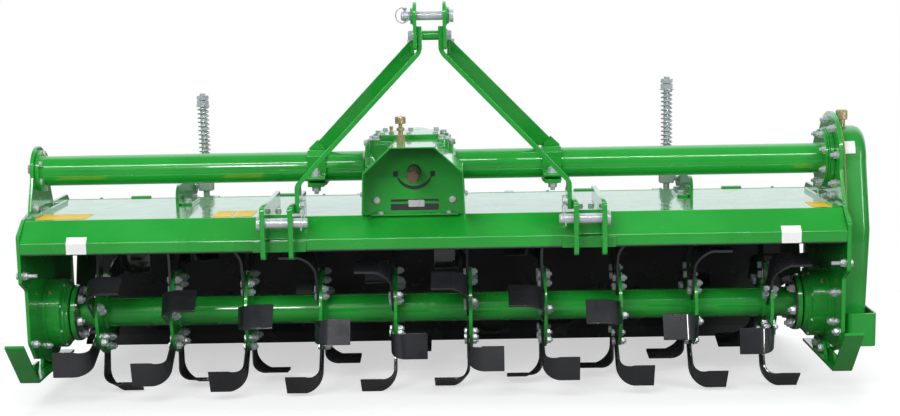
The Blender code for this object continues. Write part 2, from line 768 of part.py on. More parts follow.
def guard_outline(inset, foot_z):
    """The guard's outline seen from the tractor, or the same one drawn in by its sheet."""
    slope = (GUARD_ROOF_Z - GUARD_SHOULDER_Z) / (GUARD_SHOULDER_HALF - GUARD_ROOF_HALF)
    ease = inset * (math.sqrt(1 + slope * slope) - 1) / slope
    half_points = [
        (GUARD_FOOT_HALF - inset, foot_z),
        (GUARD_SHOULDER_HALF - inset, GUARD_SHOULDER_Z - inset * 0.4),
        (GUARD_ROOF_HALF - ease, GUARD_ROOF_Z - inset),
    ]
    right = [(PTO_X + across, up) for across, up in half_points]
    left = [(PTO_X - across, up) for across, up in half_points[::-1]]
    return right + left


guard_rear = BOX_FRONT - SEAT
guard = slab(
    "pto_guard", "XZ", [guard_outline(0.0, box_low)], GUARD_FRONT, guard_rear)
tunnels = []
for ends in (
    (GUARD_FRONT - GUARD_SHEET, GUARD_PLATE_Y - GUARD_PLATE_THICK),
    (GUARD_PLATE_Y, guard_rear + GUARD_SHEET),
):
    tunnels.append(slab("tunnel", "XZ", [guard_outline(GUARD_SHEET, box_low - GUARD_SHEET)], *ends))
shaft_cut = slab(
    "shaft_cut", "XZ", [circle((PTO_X, PTO_Z), shaft_cut_r, 16)], GUARD_FRONT, GUARD_PLATE_Y + GUARD_SHEET)
moon_outer = arc((PTO_X, PTO_Z), GUARD_CUT_R, 190.0, 350.0, 10)
moon_inner = arc((PTO_X, PTO_Z + GUARD_CUT_RISE), GUARD_CUT_R, 340.0, 200.0, 10)
moon_cut = slab("moon_cut", "XZ", [moon_outer + moon_inner], GUARD_FRONT, GUARD_PLATE_Y + GUARD_SHEET)
slot_cut = block(
    "slot_cut", (PTO_X - GUARD_SLOT_HALF, GUARD_FRONT, GUARD_SLOT_LOW),
    (PTO_X + GUARD_SLOT_HALF, GUARD_PLATE_Y + GUARD_SHEET, GUARD_SLOT_HIGH))
piece(cut(guard, *tunnels, shaft_cut, moon_cut, slot_cut), "pto_guard", FRAME, "green_paint")

shaft = turned(
    "pto_shaft", "Y", (PTO_X, 0.0, PTO_Z),
    [(0.0, GUARD_PLATE_Y + PTO_POCKET), (PTO_R, GUARD_PLATE_Y + PTO_POCKET), (PTO_R, PTO_END_Y + 0.003),
     (PTO_R - 0.003, PTO_END_Y), (0.0, PTO_END_Y)], 16)
piece(shaft, "pto_shaft", PTO, "steel", smooth=True)

# Lower hitch: two clevises, each of an outer and an inner plate on a base plate

nose_slope = Vector((FOLD_Y - NOSE_Y, DECK_Z - NOSE_TOP_Z)).normalized()
lift_y = SEAT * (1 - nose_slope.x) / nose_slope.y
HITCH_OUTLINE = [
    (HITCH_FRONT_Y, HITCH_BOTTOM_Z + 0.012),
    (HITCH_FRONT_Y, HITCH_TOP_Z - 0.024),
    (HITCH_FRONT_Y + 0.022, HITCH_TOP_Z),
    (HITCH_REAR_Y - 0.012, HITCH_TOP_Z),
    (HITCH_REAR_Y, HITCH_TOP_Z - 0.012),
    (HITCH_REAR_Y, DECK_Z + SEAT),
    (FOLD_Y - lift_y, DECK_Z + SEAT),
    (NOSE_Y - SEAT, NOSE_TOP_Z + lift_y),
    (NOSE_Y - SEAT, NOSE_TOP_Z - BASE_EDGE + SEAT),
    (NOSE_Y - BASE_THICK - 2 * SEAT, NOSE_TOP_Z - BASE_EDGE + SEAT),
    (NOSE_Y - BASE_THICK - 2 * SEAT, HITCH_BOTTOM_Z),
    (HITCH_FRONT_Y + 0.012, HITCH_BOTTOM_Z),
]


def clevis_middle(sign):
    """The middle of a clevis, where the lower link's ball end goes."""
    return HITCH_X + sign * CLEVIS_SPREAD / 2


def clevis_faces(sign):
    """The X of the inner plate's far face, its gap face, and the same of the outer plate."""
    middle = clevis_middle(sign)
    gap = CLEVIS_GAP / 2
    thick = HITCH_PLATE_THICK
    return (
        middle - sign * (gap + thick), middle - sign * gap,
        middle + sign * gap, middle + sign * (gap + thick),
    )


for side, sign in SIDES.items():
    inner_far, inner_gap, outer_gap, outer_far = clevis_faces(sign)
    for place, face_a, face_b in (("inner", inner_far, inner_gap), ("outer", outer_gap, outer_far)):
        hole = circle((HITCH_PIN_Y, HITCH_PIN_Z), HITCH_PIN_R + SEAT, 16)
        name = "hitch_plate_" + side + "_" + place
        plate = slab(name, "YZ", [HITCH_OUTLINE, hole], min(face_a, face_b), max(face_a, face_b))
        piece(plate, name, FRAME, "green_paint")

    base_ends = sorted((inner_far - sign * BASE_SIDE, outer_far + sign * BASE_SIDE))
    base = block(
        "hitch_base_" + side,
        (base_ends[0], NOSE_Y - BASE_THICK - SEAT, NOSE_BOTTOM_Z + BASE_EDGE),
        (base_ends[1], NOSE_Y - SEAT, NOSE_TOP_Z - BASE_EDGE))
    piece(base, "hitch_base_" + side, FRAME, "green_paint")

    head = outer_far + sign * SEAT
    head_out = head + sign * HITCH_PIN_HEAD
    tail = inner_far - sign * HITCH_PIN_TAIL
    profile = [
        (0.0, head_out), (HITCH_PIN_HEAD_R, head_out), (HITCH_PIN_HEAD_R, head),
        (HITCH_PIN_R, head), (HITCH_PIN_R, tail + sign * 0.004), (HITCH_PIN_R - 0.003, tail), (0.0, tail),
    ]
    if sign < 0:
        profile = profile[::-1]
    pin = turned("hitch_pin_" + side, "X", (0.0, HITCH_PIN_Y, HITCH_PIN_Z), profile, 16)
    piece(pin, "hitch_pin_" + side, FRAME, "zinc", smooth=True)

# Mast: two bent straps in front, two ears on top, and a brace behind each


def mirrored(points, sign):
    """Outline points given for the right side, mirrored about the hitch's middle where SIGN is -1."""
    return [(HITCH_X + sign * across, up) for across, up in points]


STRAP_FOOT_X = CLEVIS_SPREAD / 2 - CLEVIS_GAP / 2 - HITCH_PLATE_THICK - SEAT
STRAP_HEAD_X = EAR_GAP / 2 - SEAT
CLAMP_X = STRAP_FOOT_X - STRAP_THICK - CLAMP_OUT
CLAMP_TOP_Z = TUBE_Z + TUBE_R + CLAMP_WALL
BRACE_HEAD_X = EAR_GAP / 2 + EAR_THICK + SEAT
BRACE_FOOT_Z = CLAMP_TOP_Z + SEAT
BRACE_HEAD_Y = STRAP_Y + STRAP_HALF + BRACE_CLEAR + BRACE_THICK / 2
BRACE_FOOT_X = CLAMP_X - BRACE_FOOT_IN
BRACE_SLOPE = math.atan2(BRACE_HEAD_Z - BRACE_FOOT_Z, BRACE_FOOT_X - BRACE_HEAD_X)

for side, sign in SIDES.items():
    strap_path = [
        (STRAP_FOOT_X, STRAP_FOOT_Z), (STRAP_FOOT_X, STRAP_LOW_BEND_Z),
        (STRAP_HEAD_X, STRAP_TOP_BEND_Z), (STRAP_HEAD_X, STRAP_TOP_BEND_Z + STRAP_HEAD_HIGH),
    ]
    strap = slab(
        "mast_strap_" + side, "XZ", [mirrored(strip(strap_path[::-1], STRAP_THICK), sign)],
        STRAP_Y - STRAP_HALF, STRAP_Y + STRAP_HALF)
    piece(strap, "mast_strap_" + side, FRAME, "green_paint")

    ear_near = EAR_IN[sign]
    ear_far = ear_near + sign * EAR_THICK
    ear_outline = [
        (EAR_REAR, EAR_LOW_Z), (EAR_FRONT, EAR_LOW_Z),
        *arc((TOP_PIN_Y, TOP_PIN_Z), EAR_TOP_R, 180.0, 0.0, 10),
        (EAR_REAR, SPACER_Z),
    ]
    ear = slab("ear", "YZ", [ear_outline], min(ear_near, ear_far), max(ear_near, ear_far))
    boss_ends = sorted((ear_far - sign * SUNK, ear_far + sign * BOSS_THICK))
    boss = turned("boss", "X", (0.0, TOP_PIN_Y, TOP_PIN_Z), rod_profile(BOSS_R, boss_ends[0], boss_ends[1]), 16)
    bore = turned(
        "bore", "X", (0.0, TOP_PIN_Y, TOP_PIN_Z),
        rod_profile(TOP_PIN_R + SEAT, boss_ends[0] - 0.03, boss_ends[1] + 0.03), 16)
    piece(cut(joined(ear, boss), bore), "mast_ear_" + side, FRAME, "green_paint", smooth=True)

    foot_half = BRACE_WIDE / math.sin(BRACE_SLOPE) / 2
    head_high = BRACE_WIDE / math.cos(BRACE_SLOPE)
    brace_outline = [
        (BRACE_HEAD_X, BRACE_HEAD_Z), (BRACE_HEAD_X, BRACE_HEAD_Z + head_high),
        (BRACE_FOOT_X + foot_half, BRACE_FOOT_Z + 0.012), (BRACE_FOOT_X + foot_half, BRACE_FOOT_Z),
        (BRACE_FOOT_X - foot_half, BRACE_FOOT_Z),
    ]
    brace = slab(
        "mast_brace_" + side, "XZ", [mirrored(brace_outline, sign)],
        TUBE_Y - BRACE_THICK / 2, TUBE_Y + BRACE_THICK / 2)
    lean = (BRACE_HEAD_Y - TUBE_Y) / (BRACE_HEAD_Z + head_high - BRACE_FOOT_Z)
    shear = Matrix.Identity(4)
    shear[1][2] = lean
    about = Matrix.Translation((0.0, 0.0, BRACE_FOOT_Z))
    brace.data.transform(about @ shear @ about.inverted())
    piece(brace, "mast_brace_" + side, FRAME, "green_paint")

    clamp_x = HITCH_X + sign * CLAMP_X
    clamp_half = TUBE_R + CLAMP_WALL
    ledge_low = TUBE_Z - clamp_half + CLAMP_LEDGE_UP
    clamp_outline = [
        (TUBE_Y - clamp_half, TUBE_Z - clamp_half), (TUBE_Y + clamp_half, TUBE_Z - clamp_half),
        (TUBE_Y + clamp_half, TUBE_Z + 0.55 * clamp_half), (TUBE_Y + 0.55 * clamp_half, CLAMP_TOP_Z),
        (TUBE_Y - 0.75 * clamp_half, CLAMP_TOP_Z), (TUBE_Y - clamp_half, TUBE_Z + 0.75 * clamp_half),
        (TUBE_Y - clamp_half, ledge_low + CLAMP_LEDGE_THICK),
        (TUBE_Y - clamp_half - CLAMP_LEDGE, ledge_low + CLAMP_LEDGE_THICK),
        (TUBE_Y - clamp_half - CLAMP_LEDGE, ledge_low),
        (TUBE_Y - clamp_half, ledge_low),
    ]
    clamp = slab(
        "tube_clamp_" + side, "YZ", [clamp_outline, circle((TUBE_Y, TUBE_Z), TUBE_R + SEAT)],
        clamp_x - CLAMP_WIDE / 2, clamp_x + CLAMP_WIDE / 2)
    piece(clamp, "tube_clamp_" + side, FRAME, "green_paint", smooth=True)

strap_inner = EAR_GAP / 2 - SEAT - STRAP_THICK - SEAT
spacer = turned(
    "mast_spacer", "X", (HITCH_X, STRAP_Y, SPACER_Z), rod_profile(SPACER_R, -strap_inner, strap_inner), 12)
piece(spacer, "mast_spacer", FRAME, "zinc", smooth=True)

ear_outer = EAR_GAP / 2 + EAR_THICK + BOSS_THICK + SEAT
top_pin = turned(
    "top_link_pin", "X", (HITCH_X, TOP_PIN_Y, TOP_PIN_Z),
    [(0.0, ear_outer + TOP_PIN_HEAD), (TOP_PIN_HEAD_R, ear_outer + TOP_PIN_HEAD),
     (TOP_PIN_HEAD_R, ear_outer), (TOP_PIN_R, ear_outer), (TOP_PIN_R, -ear_outer - TOP_PIN_TAIL + 0.004),
     (TOP_PIN_R - 0.003, -ear_outer - TOP_PIN_TAIL), (0.0, -ear_outer - TOP_PIN_TAIL)], 16)
piece(top_pin, "top_link_pin", FRAME, "zinc", smooth=True)

# Skids, each with a lug up the side plate

PLATE_OUT = {"left": PLATE_LEFT_OUT, "right": PLATE_RIGHT_OUT}
for side, sign in SIDES.items():
    outer = PLATE_OUT[side] + sign * SKID_OUT[side]
    skid_ends = sorted((outer, outer - sign * SKID_WIDE))
    skid_path = [(SKID_REAR, SKID_Z), (SKID_HEEL, SKID_Z), (SKID_FRONT, SKID_TIP_Z)]
    runner = slab("skid", "YZ", [strip(skid_path, SKID_THICK)], *skid_ends)
    lug_face = PLATE_LEFT_OUT - SEAT if side == "left" else PLATE_RIGHT_IN - SEAT
    lug_ends = (lug_face - SKID_LUG_THICK, lug_face)
    lug_outline = [
        (-SKID_LUG_HALF, SKID_Z + SKID_THICK / 2), (SKID_LUG_HALF, SKID_Z + SKID_THICK / 2),
        (SKID_LUG_HALF * 0.6, SKID_Z + SKID_LUG_HIGH[side]), (-SKID_LUG_HALF * 0.6, SKID_Z + SKID_LUG_HIGH[side]),
    ]
    lug = slab("skid_lug", "YZ", [lug_outline], *lug_ends)
    piece(joined(runner, lug), "skid_" + side, FRAME, "green_paint")

# Rotor: a tube with end flanges, and stubs that run in two bearings

BEARING_FACE = {"left": PLATE_LEFT_IN + SEAT, "right": PLATE_RIGHT_IN - SEAT}
rotor_low = BEARING_FACE["left"] + BEARING_DEPTH + ROTOR_END_GAP
rotor_high = BEARING_FACE["right"] - BEARING_DEPTH - ROTOR_END_GAP
rotor_bore = ROTOR_TUBE_R - ROTOR_TUBE_WALL
rotor_profile = [
    (STUB_R, rotor_high + STUB_REACH), (STUB_R, rotor_high), (END_FLANGE_R, rotor_high),
    (END_FLANGE_R, rotor_high - END_FLANGE_THICK), (ROTOR_TUBE_R, rotor_high - END_FLANGE_THICK),
    (ROTOR_TUBE_R, rotor_low + END_FLANGE_THICK), (END_FLANGE_R, rotor_low + END_FLANGE_THICK),
    (END_FLANGE_R, rotor_low), (STUB_R, rotor_low), (STUB_R, rotor_low - STUB_REACH),
    (STUB_BORE_R, rotor_low - STUB_REACH), (STUB_BORE_R, rotor_low + END_FLANGE_THICK),
    (rotor_bore, rotor_low + END_FLANGE_THICK), (rotor_bore, rotor_high - END_FLANGE_THICK),
    (STUB_BORE_R, rotor_high - END_FLANGE_THICK), (STUB_BORE_R, rotor_high + STUB_REACH),
]
rotor_tube = turned("rotor_tube", "X", (0.0, 0.0, ROTOR_Z), rotor_profile)
piece(rotor_tube, "rotor_tube", ROTOR, "green_paint", smooth=True)

for side, sign in SIDES.items():
    face = BEARING_FACE[side]
    rim = face - sign * BEARING_RIM
    nose_end = face - sign * BEARING_DEPTH
    bearing_bore = STUB_R + RUNNING
    profile = [
        (BEARING_R, face), (BEARING_R, rim + sign * 0.006), (BEARING_R - 0.006, rim), (BEARING_STEP_R, rim),
        (BEARING_STEP_R * 0.9, nose_end), (bearing_bore, nose_end), (bearing_bore, face),
    ]
    if sign < 0:
        profile = profile[::-1]
    bearing = turned("rotor_bearing_" + side, "X", (0.0, 0.0, ROTOR_Z), profile)
    piece(bearing, "rotor_bearing_" + side, FRAME, "green_paint", smooth=True)

# Blade discs: a flange with six blades on its left face, every second one bent to the left


def blade_rows(hand):
    """Middle line of a blade: (sideways, out from the axis, trailing, half width, tilt) at each row."""
    face = WING_FACE_R - BLADE_THICK / 2
    bend = face - WING_BEND_R
    rows = [
        (0.0, BLADE_ROOT_R, -BLADE_SWEEP, BLADE_ROOT_HALF, 0.0),
        (0.0, BLADE_NECK_R, -BLADE_SWEEP * 0.7, BLADE_ROOT_HALF, 0.0),
    ]
    for step in range(WING_BEND_STEPS + 1):
        turn = math.radians(90.0 * step / WING_BEND_STEPS)
        share = step / WING_BEND_STEPS
        rows.append((
            hand * WING_BEND_R * (1 - math.cos(turn)), bend + WING_BEND_R * math.sin(turn),
            -BLADE_SWEEP * 0.35 * (1 - share),
            BLADE_ROOT_HALF + (WING_HALF - BLADE_ROOT_HALF) * (0.55 + 0.45 * share),
            math.radians(WING_TILT * share),
        ))
    rows.append((hand * WING_REACH, face, 0.0, WING_HALF, math.radians(WING_TILT)))
    return rows


def blade(x, hand, turn):
    """One blade, bolted at X and standing TURN from straight down towards the front."""
    rows = blade_rows(hand)
    mesh = bpy.data.meshes.new("blade")
    work = bmesh.new()
    bmesh.ops.create_grid(work, x_segments=1, y_segments=len(rows) - 1, size=0.5)
    for corner in work.verts:
        sideways, out, trailing, half, tilt = rows[round((corner.co.y + 0.5) * (len(rows) - 1))]
        across = math.copysign(half, corner.co.x)
        corner.co = (sideways, -(trailing + across * math.cos(tilt)), -(out - across * math.sin(tilt)))
    work.to_mesh(mesh)
    work.free()
    source = new_object("blade", mesh, CUTTERS)
    source.matrix_world = Matrix.Translation((x, 0.0, ROTOR_Z)) @ Matrix.Rotation(-turn, 4, "X")
    thick = source.modifiers.new("thick", "SOLIDIFY")
    thick.thickness = BLADE_THICK
    thick.offset = 0.0
    thick.use_even_offset = True
    result = baked(source)
    work = bmesh.new()
    work.from_mesh(result.data)
    bmesh.ops.triangulate(work, faces=work.faces)
    work.to_mesh(result.data)
    work.free()
    return result


def one_mesh(name, solids):
    """Several solids that don't touch, as one mesh."""
    work = bmesh.new()
    for solid in solids:
        solid.data.transform(solid.matrix_world)
        work.from_mesh(solid.data)
        bpy.data.objects.remove(solid, do_unlink=True)
    mesh = bpy.data.meshes.new(name)
    bmesh.ops.recalc_face_normals(work, faces=work.faces)
    work.to_mesh(mesh)
    work.free()
    return new_object(name, mesh, CUTTERS)


for index in range(DISC_COUNT):
    disc_x = PLATE_LEFT_IN + DISC_FIRST + DISC_PITCH * index
    flange = slab(
        "flange", "YZ",
        [circle((0.0, ROTOR_Z), DISC_RADIUS), circle((0.0, ROTOR_Z), ROTOR_TUBE_R + SEAT)],
        disc_x - DISC_THICK / 2, disc_x + DISC_THICK / 2)
    blade_x = disc_x - (DISC_THICK + BLADE_THICK) / 2 + SUNK
    blades = []
    for number, turn in enumerate(disc_turns(index)):
        blades.append(blade(blade_x, -1 if number % 2 == 0 else 1, turn))
    name = "blade_disc_%02d" % (index + 1)
    piece(joined(flange, one_mesh("blades", blades)), name, ROTOR, "black_blade")

# Hinge bar for the rear board, with lugs back to the hood's lip

bar = turned(
    "bar", "X", (0.0, HINGE_Y, HINGE_Z), rod_profile(HINGE_BAR_R, PLATE_LEFT_OUT, PLATE_RIGHT_OUT), 12)
bar_lugs = []
knuckle_step = HOOD_LONG / KNUCKLES
knuckles_x = [PLATE_LEFT_IN + knuckle_step * (number + 0.5) for number in range(KNUCKLES)]
for number in range(1, KNUCKLES):
    lug_x = PLATE_LEFT_IN + knuckle_step * number
    bar_lugs.append(block(
        "bar_lug", (lug_x - LUG_LONG / 2, HOOD_REAR + SEAT, HINGE_Z - 0.008),
        (lug_x + LUG_LONG / 2, HINGE_Y, HINGE_Z + 0.008)))
piece(joined(bar, *bar_lugs), "board_hinge_bar", FRAME, "green_paint", smooth=True)

# Rear board: a folded sheet with knuckles, ribs, a shoe along its edge and lugs for the rods

board_low = PLATE_LEFT_IN + BOARD_SIDE
board_high = PLATE_RIGHT_IN - BOARD_SIDE
board = slab("board", "YZ", [strip(BOARD_FOLDS, BOARD_SHEET)], board_low, board_high)
shoe = block(
    "shoe", (board_low, BOARD_SHOE_Y - BOARD_SHOE_HALF, 0.0),
    (board_high, BOARD_SHOE_Y + BOARD_SHOE_HALF, BOARD_SHOE_HIGH))
additions = [shoe]
middle_line = strip(BOARD_FOLDS, BOARD_SHEET / 2)[len(BOARD_FOLDS):][::-1]
wing_start = Vector(middle_line[0]).lerp(Vector(middle_line[1]), BOARD_WING_TOP)
wing_outline = [tuple(wing_start), middle_line[1], middle_line[2], *BOARD_WING_FRONT]
for wing_low in (board_low, board_high - BOARD_WING_THICK):
    additions.append(slab("wing", "YZ", [wing_outline], wing_low, wing_low + BOARD_WING_THICK))
for number in range(RIBS):
    rib_x = board_low + RIB_END + (board_high - board_low - 2 * RIB_END) * number / (RIBS - 1)
    rib_path = [BOARD_FOLDS[0], BOARD_FOLDS[1], BOARD_FOLDS[2], (BOARD_FOLDS[3][0], BOARD_FOLDS[3][1] + 0.01)]
    additions.append(slab(
        "rib", "YZ", [strip(rib_path, -RIB_DEEP)], rib_x - RIB_THICK / 2, rib_x + RIB_THICK / 2))
for side, sign in SIDES.items():
    rod_x = HOOD_X + sign * ROD_SPREAD
    eye_side = EYE_HALF + EYE_LUG_GAP
    for lug_sign in (-1, 1):
        near = rod_x + lug_sign * eye_side
        far = near + lug_sign * EYE_LUG_THICK
        lug_outline = [
            *arc((ROD_Y, EYE_Z), EYE_R, -40.0, 150.0, 8),
            (ROD_Y - 0.030, BOARD_FOLDS[0][1] - 0.040), (ROD_Y + 0.045, BOARD_FOLDS[1][1] + 0.040),
        ]
        additions.append(slab("eye_lug", "YZ", [lug_outline], min(near, far), max(near, far)))
    pin_half = eye_side + EYE_LUG_THICK + 0.004
    additions.append(turned(
        "eye_pin", "X", (rod_x, ROD_Y, EYE_Z), rod_profile(EYE_PIN_R, -pin_half, pin_half), 12))
for knuckle_x in knuckles_x:
    additions.append(turned(
        "knuckle", "X", (knuckle_x, HINGE_Y, HINGE_Z),
        rod_profile(KNUCKLE_R, -KNUCKLE_LONG / 2, KNUCKLE_LONG / 2), 16))
bores = []
for knuckle_x in knuckles_x:
    bores.append(turned(
        "knuckle_bore", "X", (knuckle_x, HINGE_Y, HINGE_Z),
        rod_profile(HINGE_BAR_R + RUNNING, -KNUCKLE_LONG, KNUCKLE_LONG), 12))
piece(cut(joined(board, *additions), *bores), "rear_board", REAR_BOARD, "green_paint")

# Spring rods: bracket on the deck, swivel block, coil spring, and the rod with its eye and nut

for side, sign in SIDES.items():
    rod_x = HOOD_X + sign * ROD_SPREAD
    bracket_x = rod_x + sign * ROD_BRACKET_OUT
    bracket_top = DECK_Z + ROD_BRACKET_HIGH
    bracket_outline = [
        (HOOD_REAR, DECK_Z + SEAT), (ROD_BRACKET_FRONT, DECK_Z + SEAT),
        *arc((ROD_BRACKET_FRONT + 0.040, bracket_top - 0.040), 0.040, 180.0, 90.0, 4),
        *arc((ROD_Y, SWIVEL_Z), 0.030, 70.0, -80.0, 8),
    ]
    bracket = slab(
        "spring_bracket_" + side, "YZ",
        [bracket_outline, circle((ROD_Y, SWIVEL_Z), TRUNNION_R + RUNNING, 12)],
        bracket_x - ROD_BRACKET_THICK / 2, bracket_x + ROD_BRACKET_THICK / 2)
    piece(bracket, "spring_bracket_" + side, FRAME, "green_paint")

    swivel = block(
        "swivel", (rod_x - SWIVEL_WIDE / 2, ROD_Y - SWIVEL_HALF, SWIVEL_Z - SWIVEL_HALF),
        (rod_x + SWIVEL_WIDE / 2, ROD_Y + SWIVEL_HALF, SWIVEL_TOP), 0.004)
    trunnion_ends = sorted((rod_x + sign * 0.015, bracket_x + sign * (ROD_BRACKET_THICK / 2 + 0.008)))
    trunnion = turned(
        "trunnion", "X", (0.0, ROD_Y, SWIVEL_Z), rod_profile(TRUNNION_R, *trunnion_ends), 12)
    guide = turned(
        "guide", "Z", (rod_x, ROD_Y, SWIVEL_Z),
        rod_profile(ROD_R + RUNNING, -SWIVEL_HALF - 0.02, SWIVEL_HALF + 0.02), 12)
    piece(cut(joined(swivel, trunnion), guide), "spring_swivel_" + side, SWIVELS[side], "zinc", smooth=True)

    coil = bpy.data.curves.new("spring_" + side, "CURVE")
    coil.dimensions = "3D"
    coil.bevel_depth = SPRING_WIRE_R
    coil.bevel_resolution = 0
    coil.use_fill_caps = True
    spline = coil.splines.new("POLY")
    points = SPRING_TURNS[side] * SPRING_STEPS
    spline.points.add(points)
    for step, point in enumerate(spline.points):
        turn = 2 * math.pi * step / SPRING_STEPS
        reach = SPRING_R - SPRING_WIRE_R
        rise = SPRING_BASE + SPRING_PITCH * step / SPRING_STEPS
        point.co = (
            rod_x + reach * math.cos(turn) - SWIVELS[side].location.x,
            reach * math.sin(turn), rise - SWIVEL_Z, 1.0)
    spring = new_object("spring_" + side, coil)
    spring.parent = SWIVELS[side]
    coil.materials.append(material("zinc"))

    nut_top = NUT_BASE[side] + NUT_HIGH
    rod = turned(
        "rod", "Z", (rod_x, ROD_Y, 0.0), rod_profile(ROD_R, EYE_Z + 0.006, nut_top + ROD_TAIL), 12)
    nut = turned(
        "nut", "Z", (rod_x, ROD_Y, 0.0), rod_profile(NUT_R, NUT_BASE[side], nut_top), 6)
    eye = turned("eye", "X", (rod_x, ROD_Y, EYE_Z), rod_profile(EYE_R, -EYE_HALF, EYE_HALF), 16)
    eye_bore = turned(
        "eye_bore", "X", (rod_x, ROD_Y, EYE_Z), rod_profile(EYE_BORE_R, -EYE_HALF - 0.01, EYE_HALF + 0.01), 16)
    piece(cut(joined(rod, nut, eye), eye_bore), "spring_rod_" + side, RODS[side], "zinc", smooth=True)

bpy.data.collections.remove(CUTTERS)
bpy.context.view_layer.update()
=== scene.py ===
"""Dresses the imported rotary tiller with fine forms, fasteners and finishes, and sets up its studio."""
import sys

import logging
import math
from dataclasses import dataclass, replace
from enum import Enum
from typing import Callable, Iterable, Sequence

import bmesh
import bpy
from mathutils import Matrix, Vector
from mathutils.geometry import tessellate_polygon


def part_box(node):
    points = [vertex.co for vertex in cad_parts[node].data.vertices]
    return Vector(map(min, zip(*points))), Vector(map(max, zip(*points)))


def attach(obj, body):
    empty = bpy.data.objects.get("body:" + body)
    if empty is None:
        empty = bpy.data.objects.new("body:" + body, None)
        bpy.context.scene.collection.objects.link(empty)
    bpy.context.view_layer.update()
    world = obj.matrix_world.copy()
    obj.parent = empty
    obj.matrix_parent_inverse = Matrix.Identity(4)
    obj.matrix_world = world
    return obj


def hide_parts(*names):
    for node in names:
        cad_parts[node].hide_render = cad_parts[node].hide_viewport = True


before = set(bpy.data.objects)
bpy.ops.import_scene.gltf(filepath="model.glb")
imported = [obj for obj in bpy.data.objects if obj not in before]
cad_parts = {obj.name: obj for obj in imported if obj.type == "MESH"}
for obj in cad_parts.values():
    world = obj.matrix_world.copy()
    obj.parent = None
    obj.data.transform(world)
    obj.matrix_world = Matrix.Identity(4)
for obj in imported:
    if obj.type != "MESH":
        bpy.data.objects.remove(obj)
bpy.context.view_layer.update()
LOG = logging.getLogger("tiller")
Point = tuple[float, float]
Triple = tuple[float, float, float]
Socket = bpy.types.NodeSocket

# Every piece is drawn with Y measured from the rotor's axis, as the CAD source does
AXIS_Y = sum(corner.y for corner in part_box("rotor_tube")) / 2
AXIS_Z = sum(corner.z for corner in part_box("rotor_tube")) / 2
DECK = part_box("gearbox")[0].z
TUBE, ROTOR = (-0.030, 0.697), (0.0, AXIS_Z)
# The room between pieces that seat on one another
SEAT = 0.0003
UNTURNED = Matrix.Identity(4)
UP, REARWARD = (0, 0, 1), (0, 1, 0)
# Bolt diameters
M5, M8, M9, M10, M12, M14, M16 = 0.005, 0.008, 0.009, 0.010, 0.012, 0.014, 0.016
# How many chords a rim's rounding has, and the angles from which an edge is sharp and a bend is flat
RIM_STEPS = 3
SHARP, FLAT = math.radians(36), math.radians(170)
# The most of a side that a rounding takes, and how far a mitre may reach
ROUNDING_SHARE, MITRE_FLOOR = 0.49, 0.3
AXIS_RADIUS = 1e-6


class Plane(Enum):
    """The plane a flat outline or a turned ring lies in: its across, up and through axes."""

    YZ = (1, 2, 0)
    XZ = (0, 2, 1)
    XY = (0, 1, 2)

    def spot(self, *places: float) -> Vector:
        """The point at those places along the plane's three axes."""
        return Vector([place for _, place in sorted(zip(self.value, places))])


YZ, XZ, XY = Plane


class Side(Enum):
    """The machine's two ends, seen from the tractor, with the sign of their X."""

    LEFT = -1
    RIGHT = 1

    @property
    def word(self) -> str:
        """The side's name as the CAD nodes spell it."""
        return self.name.lower()


def span(node: str) -> Point:
    """Where a CAD node starts and ends in X."""
    low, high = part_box(node)
    return low.x, high.x


def middle(node: str) -> float:
    """The middle of a CAD node in X."""
    return sum(span(node)) / 2


LEFT_PLATE, RIGHT_PLATE = span("side_plate_left"), span("side_plate_right")
INNER = (LEFT_PLATE[1], RIGHT_PLATE[0])
HITCH_X, INPUT_X = middle("mast_spacer"), middle("pto_shaft")
RODS_X = (middle("spring_rod_left"), middle("spring_rod_right"))


def arc(centre: Point, radius: float, start: float, stop: float, steps: int) -> list[Point]:
    """Points on an arc.

    Args:
        centre: the arc's middle.
        radius: its radius.
        start: the first angle in degrees.
        stop: the last angle in degrees.
        steps: how many chords it has.

    Returns:
        The points, both ends in.
    """
    turns = [math.radians(start + (stop - start) * step / steps) for step in range(steps + 1)]
    return [(centre[0] + radius * math.cos(turn), centre[1] + radius * math.sin(turn)) for turn in turns]


def circle(centre: Point, radius: float, sides: int = 48, first: float = 0.0) -> list[Point]:
    """Points evenly round a circle, the first of them at an angle in degrees."""
    return arc(centre, radius, first, first + 360.0 - 360.0 / sides, sides - 1)


def oblong(left: float, right: float, low: float, high: float) -> list[Point]:
    """A rectangle's corners, or the profile of a plain ring from one radius to another."""
    return [(left, low), (right, low), (right, high), (left, high)]


def moved(points: Iterable[Point], across: Point = (0.0, 1.0), up: Point = (0.0, 1.0)) -> list[Point]:
    """Points scaled and shifted: ACROSS and UP each hold a start and a factor."""
    return [(across[0] + across[1] * first, up[0] + up[1] * second) for first, second in points]


